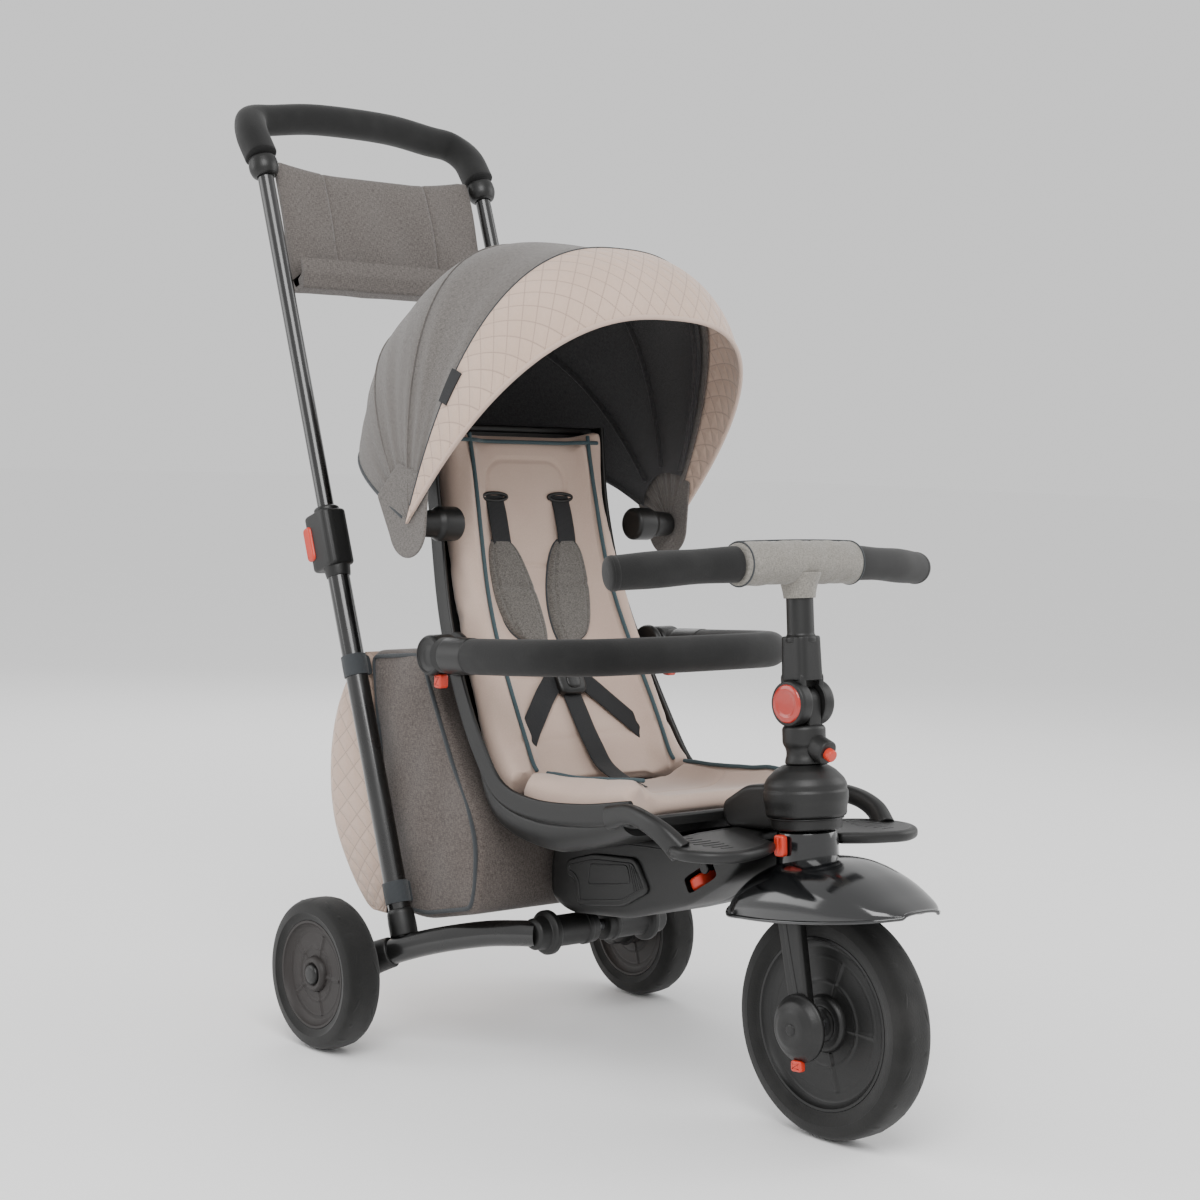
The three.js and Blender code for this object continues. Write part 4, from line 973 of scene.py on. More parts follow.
def stuffed(piece, most, voxel=5.0, pressure=4.0):
    """Padding by cloth simulation: the closed form is remeshed evenly, blown up as cloth without gravity, and
    no point may move further than most, in mm. It is then smoothed and divided once more."""
    modify(piece, "REMESH", mode="VOXEL", voxel_size=voxel * MM, use_smooth_shade=True)
    mesh = made_real(piece)
    rest = coordinates(mesh)
    cloth = piece.modifiers.new("stuffing", "CLOTH")
    cloth.settings.use_pressure = True
    cloth.settings.uniform_pressure_force = pressure
    cloth.settings.effector_weights.gravity = 0
    scene = bpy.context.scene
    for step in range(1, 21):
        scene.frame_set(step)
    blown = coordinates(made_real(piece))
    scene.frame_set(1)
    shift = blown - rest
    far = np.linalg.norm(shift, axis=1, keepdims=True) + 1e-9
    mesh = piece.data
    set_coordinates(mesh, rest + shift * np.minimum(1, most * MM / far))
    modify(piece, "SMOOTH", factor=0.5, iterations=4)
    modify(piece, "SUBSURF", levels=1, render_levels=1)
    mesh = made_real(piece)
    mesh.shade_smooth()
    return piece


def carve(piece, *cutters):
    """Real openings: each cutter is taken out of the piece, and then removed."""
    for cutter in cutters:
        modify(piece, "BOOLEAN", operation="DIFFERENCE", solver="EXACT", object=cutter)
        mesh = made_real(piece)
        bpy.data.objects.remove(cutter)
    mesh.shade_smooth()
    mesh.set_sharp_from_angle(angle=math.radians(35))
    return piece


def block_of_cloth(name, corners, half, dome, finish, bench=None, radius=18, edge=9, rings=14, count=150):
    """A sewn block standing in X and Z. Each side is a polar grid from its middle to the outline, bulging as
    one less the square of the share of the way; the rim turns over in a quarter circle."""
    outline = anticlockwise(evenly(fillet(corners, radius, closed=True), count, closed=True))
    centre = outline.mean(0)
    share = np.linspace(0.001, 1, rings)[:, None, None]
    eased = inset(outline, edge)
    face = centre + share * (eased - centre)
    bulge = half + dome * (1 - share[..., 0] ** 2) + np.zeros((1, count))
    a = np.linspace(0, np.pi / 2, 7)[1:, None, None]
    rim = np.stack([inset(outline, edge * (1 - math.sin(t))) for t in a[:, 0, 0]])
    rim_y = half - edge * (1 - np.cos(a[..., 0])) + np.zeros((1, count))
    shell = np.concatenate([face, rim])
    y = np.concatenate([bulge, rim_y])
    near = np.stack([shell[..., 0], y, shell[..., 1]], -1)
    far = near[::-1] * (1, -1, 1)
    waist = (near[-1] + (far[0] - near[-1]) * np.linspace(0, 1, 12)[1:-1, None, None])
    grid = np.concatenate([near, waist, far])
    return surface(name, grid, finish, bench, wrap_columns=True, lids=True, sharp=80), outline


# ------------------------------------------------------------------ seat
SEAT_POINTS = (
    (10, 684), (22, 600), (49, 500), (85, 422), (138, 338), (180, 294), (240, 281), (320, 286), (398, 300)
)
SEAT_SPLIT = 0.69  # where the back pad meets the base pad, as a share of the line
PAD_MIDDLE, PAD_SIDE = 18, 46  # how far the padding stands off the shell
DRAWN_HALF = 140  # the half width that the seat's sections are drawn for
PIPED_AT = 97  # how far the piped seams run from the middle, at that half width


class SeatLine:
    """The inner face of the shell on the middle of the seat, from the top of the back to the front edge, and
    points measured from it: a share of its length, across, and out towards the child."""

    def __init__(self):
        flat = curve(np.array(SEAT_POINTS), 600)
        self.line = np.stack([flat[:, 0], 0 * flat[:, 0], flat[:, 1]], 1)
        self.along, _, _ = frames_along(self.line, (0, 1, 0))
        self.out = np.cross(self.along, (0, 1, 0))
        self.share = np.linspace(0, 1, 600)
        self.length = np.linalg.norm(np.diff(self.line, axis=0), axis=1).sum()

    def at(self, share, across, out):
        share, across, out = np.broadcast_arrays(share, across, out)
        place = np.stack([np.interp(share, self.share, self.line[:, k]) for k in range(3)], -1)
        way = unit(np.stack([np.interp(share, self.share, self.out[:, k]) for k in range(3)], -1))
        return place + way * out[..., None] + across[..., None] * np.array([0.0, 1.0, 0.0])

    def measure(self, points):
        """The share, across and out of points on the axle bench."""
        step = 12
        flat = self.line[::step]
        gap = ((points[:, None, [0, 2]] - flat[None, :, [0, 2]]) ** 2).sum(2)
        nearest = gap.argmin(1) * step
        offset = points - self.line[nearest]
        along = (offset * self.along[nearest]).sum(1)
        share = self.share[nearest] + along / self.length
        return share, points[:, 1], (offset * self.out[nearest]).sum(1)

    def half(self, share):
        t = np.clip((share - 0.12) / 0.45, 0, 1)
        return 122 + 18 * t * t * (3 - 2 * t)


SEAT = SeatLine()


def seat_rows(outline, start, stop, count, grow=None):
    """A section of across and out, drawn for one half width, carried along the seat line."""
    share = np.linspace(start, stop, count)
    wide = SEAT.half(share) / DRAWN_HALF
    outline = np.asarray(outline)
    lift = np.ones(count) if grow is None else grow(share)
    return SEAT.at(share[:, None], outline[None, :, 0] * wide[:, None], outline[None, :, 1] * lift[:, None])


def both_sides(half):
    """A half section and its mirror image, as one closed outline."""
    half = np.asarray(half, float)
    return np.concatenate([half, half[::-1] * (-1, 1)])


def seat_shell():
    """The moulded bucket: a section with rolled side flanges along the seat line, stiffened by a lip at each
    end, with the stubs that carry the waist bar."""
    section = fillet(
        both_sides([(132, 0), (134, 17), (136, 20.5), (140, 20), (140.5, -1), (128, -8)]), 5, 6, closed=True
    )
    shell = surface("seat_bucket", seat_rows(section, 0, 1, 150), SATIN, AXLE, wrap_columns=True, lids=True)
    fit(shell, "seat_body", "satin_black", "seat_shell")
    under = fillet(both_sides([(137, -1), (134, -20), (122, -34)]), 9, 6, closed=True)

    def deep(share):
        t = np.clip((share - 0.55) / 0.12, 0, 1)
        return (t * t * (3 - 2 * t) - 0.55 * np.clip((share - 0.8) / 0.17, 0, 1)) * 0.98 + 0.02

    base = surface(
        "seat_bucket_base", seat_rows(under, 0.55, 0.975, 60, deep), SATIN, AXLE, wrap_columns=True, lids=True
    )
    fit(base, "seat_body", "satin_black")
    for name, share in (("top", 0.004), ("front", 0.992)):
        lip = SEAT.at(share, np.linspace(-1, 1, 60) * SEAT.half(share), -1.0)
        bead = swept(f"seat_lip_{name}", lip, squircle(5.2, 4.2, 3, 24), SATIN, AXLE, round_ends=3)
        fit(bead, "seat_body", "satin_black")
    ribs = SEAT.at(np.linspace(0.03, 0.6, 90)[:, None], np.array([-60, 60])[None], -9.0)
    for k, (side, _) in enumerate(SIDES):
        rib = swept(
            f"seat_back_rib_{side}",
            ribs[:, k],
            squircle(7, 5, 3, 24),
            SATIN,
            AXLE,
            up=(0, 1, 0),
            round_ends=4,
        )
        fit(rib, "seat_body", "satin_black")
    for side, s in SIDES:
        stub = [(0, 132), (22, 132), (24, 135), (24, 139), (17, 143), (12, 143), (12, 171), (0, 171)]
        piece = turned(f"bar_stub_{side}", fillet(stub, 2), SATIN, Bench(AXLE((103, 0, 438)), (0, s, 0)), 56)
        fit(piece, "seat_body", "satin_black")


def pad_section(slim):
    """Half a section of the padding: hollow in the middle, a raised side, then down to the shell."""
    return both_sides(
        [
            (58, PAD_MIDDLE - slim), (80, PAD_MIDDLE + 3 - slim), (100, PAD_SIDE - 6 - slim),
            (114, PAD_SIDE - slim), (128 - slim, PAD_SIDE - 6 - slim), (132 - slim, 18),
            (131 - slim, 5 + slim / 2), (122, 1.5 + slim / 2),
        ]
    )


def seat_pads():
    """Two padded cushions swept along the seat line, blown up as cloth. Afterwards seams are pressed in: a
    line is a valley whose depth falls off as a bell curve with the distance to it."""
    slim = 3.0
    section = evenly(fillet(pad_section(slim), 12, 5, closed=True), 110, closed=True)
    spans = {"back": (0.008, SEAT_SPLIT - 0.012, 84), "base": (SEAT_SPLIT + 0.006, 0.975, 44)}
    for name, (start, stop, count) in spans.items():
        rows = seat_rows(
            section, start, stop, count, lambda t: 1 - 0.06 * ((t - start) / (stop - start)) ** 8
        )
        pad = surface(f"seat_cushion_{name}", rows, BEIGE, AXLE, wrap_columns=True, lids=True)
        stuffed(pad, 7.0)
        share, across, out = SEAT.measure((coordinates(pad.data) / MM) - AXLE.origin)
        wide = SEAT.half(share) / DRAWN_HALF
        line = np.exp(-(((np.abs(across) - PIPED_AT * wide) / 2.6) ** 2)) * 3.4
        if name == "back":
            boxed = np.abs(rounded_box_distance(across, (share - 0.155) * SEAT.length, 56, 62, 26))
            line = line + np.exp(-((boxed / 2.2) ** 2)) * 2.6
            waist = np.abs((share - 0.46) * SEAT.length)
            line = line + np.exp(-((waist / 2.4) ** 2)) * 2.6 * (np.abs(across) < 90)
            crease = np.abs((share - 0.575) * SEAT.length + 0.06 * across)
            line = line + np.exp(-((crease / 5) ** 2)) * 1.6
        else:
            channel = np.abs((share - 0.84) * SEAT.length + 0.0008 * across**2)
            line = line + np.exp(-((channel / 2.4) ** 2)) * 2.6 * (np.abs(across) < 92)
        top = np.clip((out - 8) / 6, 0, 1)
        way = SEAT.at(share, across, 1.0) - SEAT.at(share, across, 0.0)
        set_coordinates(pad.data, coordinates(pad.data) - (line * top)[:, None] * way * MM)
        fit(pad, "seat_body", "beige_cloth", f"seat_pad_{name}")
        piping(name, pad, start, stop)


def rounded_box_distance(x, y, half_x, half_y, corner):
    """How far points are from a rounded rectangle's line, less than nothing inside it."""
    dx, dy = np.abs(x) - half_x + corner, np.abs(y) - half_y + corner
    outside = np.hypot(np.maximum(dx, 0), np.maximum(dy, 0))
    return outside + np.minimum(np.maximum(dx, dy), 0) - corner


def top_of(pad, share, across):
    """How far out the pad's skin stands at places given by share and across."""
    found = SEAT.measure((coordinates(pad.data) / MM) - AXLE.origin)
    near = (
        (np.abs(found[0][None] - share[:, None]) < 0.014) & (np.abs(found[1][None] - across[:, None]) < 3.5)
    )
    return np.where(near, found[2][None], -1e3).max(1)


def piping(name, pad, start, stop):
    """The teal piping that runs down both shoulders of a pad, sunk to a third in the seam."""
    share = np.linspace(start + 0.012, stop - 0.012, 70)
    for side, s in SIDES:
        across = s * PIPED_AT * SEAT.half(share) / DRAWN_HALF
        out = top_of(pad, share, across)
        out = np.convolve(np.pad(out, 4, "edge"), np.ones(9) / 9, "valid")
        line = SEAT.at(share, across, out + 0.2)
        cord = swept(
            f"seat_piping_{name}_{side}", line, circle(2.3, 14), PIPING, AXLE, up=(0, 1, 0), round_ends=1.5
        )
        fit(cord, "seat_body", "beige_cloth")
    if name == "back":
        across = np.linspace(-98, 98, 90)
        share = np.full(90, start + 0.022)
        out = np.convolve(np.pad(top_of(pad, share, across), 4, "edge"), np.ones(9) / 9, "valid")
        line = SEAT.at(share, across, out)
        cord = swept("seat_piping_top", line, circle(2.3, 14), PIPING, AXLE, round_ends=1.5)
        fit(cord, "seat_body", "beige_cloth")


# ------------------------------------------------------------------ harness
def strap(name, share, across, out, width, finish, thick=2.0):
    """Flat webbing lying on the seat: a thin rounded section carried along a line of share, across and out."""
    line = evenly(SEAT.at(np.asarray(share), np.asarray(across, float), np.asarray(out, float)), 40)
    line = curve(line[::5], 60)
    facing = unit(np.gradient(line, axis=0))
    band = swept(
        name,
        line,
        squircle(width / 2, thick / 2, 5, 28),
        finish,
        AXLE,
        up=np.cross(facing, (0, 1, 0)),
        round_ends=0.8,
    )
    return fit(band, "seat_body", "grey_cloth")


def harness():
    """Two stitched chest pads on black webbing, a clip with two pale jaws between them, and straps to the
    shoulders, the hips and the front of the seat."""
    skin = PAD_MIDDLE + 3.2
    for side, s in SIDES:
        u = np.linspace(0, 1, 46)[:, None]
        v = np.linspace(-1, 1, 40)[None]
        half = 17 + 13 * np.sin(np.pi * np.clip(u * 0.75 + 0.1, 0, 1)) ** 1.5 + 2 * u
        ends = np.clip(1 - np.abs(2 * u - 1) ** 7, 0, 1) ** 0.5
        centre = s * (47 - 17 * u)
        across = centre + half * ends * v
        share = 0.2 + 0.205 * u - 0.012 * v * s * u
        edge = np.sqrt(np.clip(1 - v**6, 0, 1)) * ends
        panel = (
            1 - 0.3 * np.exp(-(((u - 0.45) / 0.02) ** 2)) - 0.3 * np.exp(-(((np.abs(v) - 0.72) / 0.04) ** 2))
        )
        top = SEAT.at(share + 0 * v, across, skin + 1 + 8.5 * edge * panel)
        under = SEAT.at(share + 0 * v, across, skin + 1 - 0.4 * edge)
        grid = np.concatenate([top, under[:, ::-1]], 1)
        pad = surface(f"chest_pad_{side}", grid, HARNESS_CLOTH, AXLE, wrap_columns=True, lids=True, sharp=70)
        fit(pad, "seat_body", "grey_cloth", f"harness_pad_{side}")
        rim = np.concatenate([top[1:-1, 0], top[-2:0:-1, -1]])
        edging = swept(
            f"chest_pad_edging_{side}",
            evenly(rim, 120),
            circle(1.3, 10),
            EDGING,
            AXLE,
            up=(0, 1, 0.01),
            round_ends=0.8,
        )
        fit(edging, "seat_body", "grey_cloth")
        strap(
            f"shoulder_strap_{side}",
            [0.127, 0.16, 0.2, 0.25],
            [s * 47, s * 47, s * 47, s * 44],
            [skin + 1, skin + 4.5, skin + 6, skin + 3],
            25,
            WEBBING,
        )
        strap(
            f"lower_strap_{side}",
            [0.395, 0.42, 0.45],
            [s * 30, s * 24, s * 14],
            [skin + 3, skin + 5, skin + 6],
            20,
            WEBBING,
        )
        strap(
            f"hip_strap_{side}",
            [0.46, 0.5, 0.56, 0.62],
            [s * 14, s * 40, s * 74, s * 102],
            [skin + 6, skin + 5, skin + 4, skin + 1],
            24,
            WEBBING,
        )
        frame_ring = swept(
            f"strap_slot_{side}",
            oval_ring(0.128, s * 47, 17, 4.5, skin + 2.4),
            circle(2.0, 12),
            SATIN,
            AXLE,
            up=SEAT.out[70],
            closed=True,
        )
        fit(frame_ring, "seat_body", "satin_black")
    strap(
        "crotch_strap",
        [0.5, 0.58, 0.66, 0.72, 0.8],
        [0, 0, 0, 0, 0],
        [skin + 5, skin + 7, skin + 7, skin + 5, skin - 3],
        25,
        WEBBING,
    )
    clip()


def oval_ring(share, across, half_across, half_along, out):
    """A flat oval lying on the seat line, its half sizes in mm."""
    a = np.linspace(0, 2 * np.pi, 49)[:-1]
    return SEAT.at(share + half_along * np.sin(a) / SEAT.length, across + half_across * np.cos(a), out)


def clip():
    """The buckle: a black body with a raised press and two pale jaws, shaped as rounded blocks on the seat
    line's own bench."""
    place = SEAT.at(0.475, 0.0, PAD_MIDDLE + 11.0)
    k = int(0.475 * 599)
    bench = Bench(AXLE(place), SEAT.out[k], SEAT.along[k])
    body = lump("clip_body", (0, 0, 0), (16, 19, 6.5), SATIN, bench, 4)
    fit(body, "seat_body", "satin_black", "harness_buckle")
    fit(lump("clip_press", (2, 0, 6.2), (8, 9, 2.2), SATIN_DARK, bench, 3), "seat_body", "satin_black")
    for side, s in SIDES:
        jaw = lump(f"clip_jaw_{side}", (-17, s * 11.5, 0.8), (9, 6.5, 4.2), CLIP_WHITE, bench, 4)
        fit(jaw, "seat_body", "satin_black")


# ------------------------------------------------------------------ storage bag
BAG_SIDE = (
    (-56, 428), (48, 440), (68, 400), (112, 322), (140, 285), (158, 240), (158, 190), (150, 163),
    (60, 142), (-6, 146),
)


def storage_bag():
    """The sewn bag between the uprights: a domed block with creased sides and piping round both rims, a slack
    pocket at the back, and bands with tabs that close round the uprights."""
    half = size("storage_bag")[1] / 2
    bag, outline = block_of_cloth("storage_bag_cloth", BAG_SIDE, half - 3.5, 3.0, BAG_CLOTH, AXLE)
    local = coordinates(bag.data) / MM - AXLE.origin
    crease = (
        np.sin(local[:, 2] / 15 + local[:, 0] / 34) * 1.2 + np.sin(local[:, 0] / 11 - local[:, 2] / 40) * 0.8
    )
    on_side = np.clip(1 - np.abs(local[:, 1]) / half, 0, 1) < 0.1
    local[:, 1] -= np.sign(local[:, 1]) * crease * on_side * 0.9
    set_coordinates(bag.data, (local + AXLE.origin) * MM)
    fit(bag, "rear_frame", "dark_cloth", "storage_bag")
    line = inset(outline, 7)
    for side, s in SIDES:
        rim = np.insert(evenly(line, 220, closed=True), 1, s * (half - 3.9), axis=1)
        cord = swept(f"bag_piping_{side}", rim, circle(2.4, 12), EDGING, AXLE, up=(0, 1, 0), closed=True)
        fit(cord, "rear_frame", "dark_cloth")
    pocket()
    for side, s in SIDES:
        y = s * HANDLE_HALF
        tube = Bench(LEAN((0, y, 0)), LEAN.up)
        for k, (low, high) in enumerate(((24, 48), (282, 306))):
            ring = [(12.7, low), (14.2, low), (14.4, (low + high) / 2), (14.2, high), (12.7, high)]
            band = turned(f"bag_band_{side}_{k}", fillet(ring, 0.6, closed=True), EDGING, tube, 40)
            fit(band, "rear_frame", "dark_cloth")
            inward = lump(
                f"bag_tab_{side}_{k}", (2, y - s * 11, (low + high) / 2), (1.5, 9, 11.5), EDGING, LEAN, 5
            )
            fit(inward, "rear_frame", "dark_cloth")


def pocket():
    """The back pocket: a hanging belly from the bag's top edge to its foot, on a grid across and down, with
    slack ripples that fade towards its seams."""
    half = size("bag_pocket")[1] / 2
    down = curve(
        np.array(
            [
                (-62, 426), (-100, 404), (-140, 350), (-156, 285), (-143, 222), (-92, 163), (-44, 137),
                (-9, 152),
            ]
        ),
        90,
    )
    u = np.linspace(-1, 1, 100)[None]
    v = np.linspace(0, 1, 90)[:, None]
    dome = 0.72 + 0.28 * np.clip(1 - np.abs(u) ** 4, 0, 1) ** 0.5
    back = np.interp(down[:, 1], [152, 426], [-9.5, -60])
    x = back[:, None] + (down[:, 0] - back)[:, None] * dome
    slack = np.sin(np.pi * v) * (1 - u**8)
    x = (
        x - slack * (2.2 * np.sin(7 * u + 9 * v) + 1.4 * np.sin(15 * u - 13 * v))
        - slack * 1.5 * np.sin(3 * np.pi * v)
    )
    outer = np.stack([x, u * half + 0 * v, down[:, 1][:, None] + 0 * u], -1)
    inner = np.stack([back[:, None] + 0 * u + 0.4, u * half * 0.995 + 0 * v, down[:, 1][:, None] + 0 * u], -1)
    belly = surface(
        "bag_pocket_cloth",
        np.concatenate([outer, inner[:, ::-1]], 1),
        QUILTED,
        AXLE,
        wrap_columns=True,
        lids=True,
        sharp=60,
    )
    fit(belly, "rear_frame", "beige_cloth", "bag_pocket")
    hem = outer[3]
    fit(
        swept("pocket_hem", evenly(hem, 90), circle(2.4, 12), EDGING, AXLE, up=(0, 0.02, 1), round_ends=1),
        "rear_frame",
        "dark_cloth",
    )


# ------------------------------------------------------------------ housing
HOUSING = (
    (183, 262), (172, 216), (174, 178), (205, 166), (300, 176), (392, 206), (452, 243), (472, 268),
    (470, 274), (398, 274), (330, 268), (250, 264),
)
COVER = (
    (206, 208), (222, 206), (226, 178), (300, 190), (340, 212), (318, 244), (250, 238), (224, 230), (206, 224)
)
SHELL_FACE, COVER_FACE = 58.1, 61.9  # how far the shells and their covers stand from the middle
PULL_TILT = -0.553  # the fold pull and its well, about Y


def housing():
    """The moulded housing under the seat: two shells with a parting line between, covers with a stepped edge
    and ribs, and the red pull that lets the frame fold."""
    for side, s in SIDES:
        low, high = sorted((s * 0.4, s * 57.9))
        edge = (0.6, 9.0) if s > 0 else (9.0, 0.6)
        shell = plate(
            f"housing_shell_{side}", HOUSING, low, high, SATIN, AXLE, radius=14, edge=edge, count=220
        )
        well = lump("well", (413, 0, 239), (28.6, 62, 10.6), SATIN, AXLE, 6, turn=PULL_TILT)
        lug = turned(
            "lug_well", [(0, -7), (21, -7), (21, 7), (0, 7)], SATIN, Bench(AXLE(FOLD), (0, 1, 0)), 64
        )
        carve(shell, well, lug)
        fit(shell, "seat_body", "satin_black", f"housing_{side}")
        low, high = sorted((s * 56, s * COVER_FACE))
        edge = (0.6, 2.6) if s > 0 else (2.6, 0.6)
        cover = plate(f"side_cover_{side}", COVER, low, high, SATIN, AXLE, radius=9, edge=edge)
        fit(cover, "seat_body", "satin_black", f"side_cover_{side}")
        outline = anticlockwise(evenly(fillet(COVER, 9, closed=True), 160, closed=True))
        step = np.insert(inset(outline, 6.5), 1, s * COVER_FACE, axis=1)
        fit(
            swept(f"cover_bead_{side}", step, circle(0.9, 10), SATIN, AXLE, up=(0, 1, 0), closed=True),
            "seat_body",
            "satin_black",
        )
        frame_line = fillet([(244, 204), (312, 216), (306, 234), (246, 226)], 5, closed=True)
        raised = np.insert(evenly(frame_line, 120, closed=True), 1, s * COVER_FACE, axis=1)
        fit(
            swept(
                f"cover_frame_{side}", raised, circle(0.8, 10), SATIN_DARK, AXLE, up=(0, 1, 0), closed=True
            ),
            "seat_body",
            "satin_black",
        )
        for k in range(5):
            bar = np.array(
                [(318 + 3.4 * k, s * 61.7, 210 + 1.0 * k), (309 + 3.4 * k, s * 61.7, 235 - 1.5 * k)]
            )
            fit(
                swept(
                    f"cover_rib_{side}_{k}",
                    evenly(bar, 8),
                    circle(0.9, 10),
                    SATIN,
                    AXLE,
                    up=(0, 1, 0),
                    round_ends=0.8,
                ),
                "seat_body",
                "satin_black",
            )
        seam = curve(
            np.array(
                [
                    (190, s * SHELL_FACE, 250), (260, s * SHELL_FACE, 252), (350, s * SHELL_FACE, 258),
                    (452, s * SHELL_FACE, 262),
                ]
            ),
            60,
        )
        fit(
            swept(
                f"housing_line_{side}",
                seam,
                squircle(0.8, 0.5, 3, 12),
                SATIN_DARK,
                AXLE,
                up=(0, 1, 0),
                round_ends=0.4,
            ),
            "seat_body",
            "satin_black",
        )
        stud = turned(
            f"housing_stud_{side}",
            fillet([(0, 57), (6, 57), (6, 60), (4.8, 61), (2.6, 60.6), (0, 60.4)], 0.6),
            SATIN_DARK,
            Bench(AXLE((420, 0, 250)), (0, s, 0)),
            40,
        )
        fit(stud, "seat_body", "satin_black")
    half = size("fold_handle")[1] / 2
    paddle = lump(
        "fold_pull_paddle",
        middle("fold_handle") - AXLE.origin,
        (12.6, half - 0.4, 8.8),
        RED,
        AXLE,
        5,
        turn=PULL_TILT,
    )
    fit(paddle, "fold_pull", "red_plastic", "fold_handle")


# ------------------------------------------------------------------ footrest
FOOTREST_HALF = (
    (420, 24), (426, 84), (446, 132), (470, 156), (496, 160), (520, 146), (533, 116), (522, 74), (506, 46)
)


def footrest():
    """The footrest plate: a winged outline with room for the steering neck, a raised rim, tread bars on each
    foot and the two arms that carry it."""
    half = np.array(FOOTREST_HALF, float)
    a = np.linspace(math.radians(84), math.radians(276), 24)
    notch = np.stack([502 + 44.5 * np.cos(a), 44.5 * np.sin(a)], 1)
    left = evenly(fillet(half, 16), 70)
    right = evenly(fillet(half * (1, -1), 16), 70)[::-1]
    outline = np.concatenate([left[1:], notch[1:-1], right[:-1]])
    deck = plate(
        "footrest_deck", outline, 277.2, 288.6, SATIN, AXLE, radius=0.01, edge=4.5, lying=True, count=300
    )
    fit(deck, "seat_body", "satin_black", "footrest")
    rim = np.insert(inset(anticlockwise(evenly(outline, 260, closed=True)), 6.5), 2, 288.3, axis=1)
    fit(
        swept("footrest_rim", rim, squircle(2.0, 0.6, 3, 16), SATIN, AXLE, closed=True),
        "seat_body",
        "satin_black",
    )
    for side, s in SIDES:
        for k in range(7):
            x = 450 + 9.5 * k
            reach = 6 + 3 * (3 - abs(k - 3))
            bar = np.array([(x, s * (112 - reach), 288.2), (x, s * (112 + reach), 288.2)])
            fit(
                swept(
                    f"tread_bar_{side}_{k}",
                    evenly(bar, 10),
                    squircle(2.2, 1.1, 3, 16),
                    SATIN_DARK,
                    AXLE,
                    round_ends=1.8,
                ),
                "seat_body",
                "satin_black",
            )
        route = curve(
            np.array([(366, 137, 299), (400, 144, 308), (430, 149, 306), (456, 148, 297), (474, 142, 283)])
            * (1, s, 1),
            40,
        )
        arm = swept(
            f"footrest_arm_{side}",
            route,
            squircle(10.5, 8, 3, 36),
            SATIN,
            AXLE,
            up=(0, 1, 0),
            scale=1.15 - 0.25 * np.sin(np.linspace(0, np.pi, 40)),
            round_ends=1.5,
        )
        fit(arm, "seat_body", "satin_black")


# ------------------------------------------------------------------ steering
FRONT_AXLE = (27.5, 0, -190.0)
DRUM_AT = 120.5  # the handlebar's fold drum, up the steering axis


def steering_head():
    """The head: a dome with a ledge and a wide shoulder, and the spine plate that ties it to the housing."""
    profile = [
        (0, -3), (35, -3), (35, 9), (38.5, 9.5), (40, 12), (40.2, 18), (42, 26), (42, 34), (40.6, 36),
        (41, 41), (38, 47), (30, 55), (22, 60), (0, 60),
    ]
    dome = turned("head_dome", fillet(profile, 2.5, 5), SATIN, STEER, 96, sharp=35)
    fit(dome, "seat_body", "satin_black", "steering_head")
    spine = [(0, -5), (0, 43), (-64, 39), (-99, 21), (-99, 6), (-91, -5)]
    fit(plate("head_spine", spine, -21.8, 21.8, SATIN, STEER, radius=8, edge=5), "seat_body", "satin_black")
    a = np.linspace(0, 2 * np.pi, 120)[:-1]
    ledge = np.stack([36.2 * np.cos(a), 36.2 * np.sin(a), np.full(119, 8.0)], 1)
    fit(
        swept("head_seam", ledge, circle(1.0, 10), SATIN_DARK, STEER, closed=True), "seat_body", "satin_black"
    )


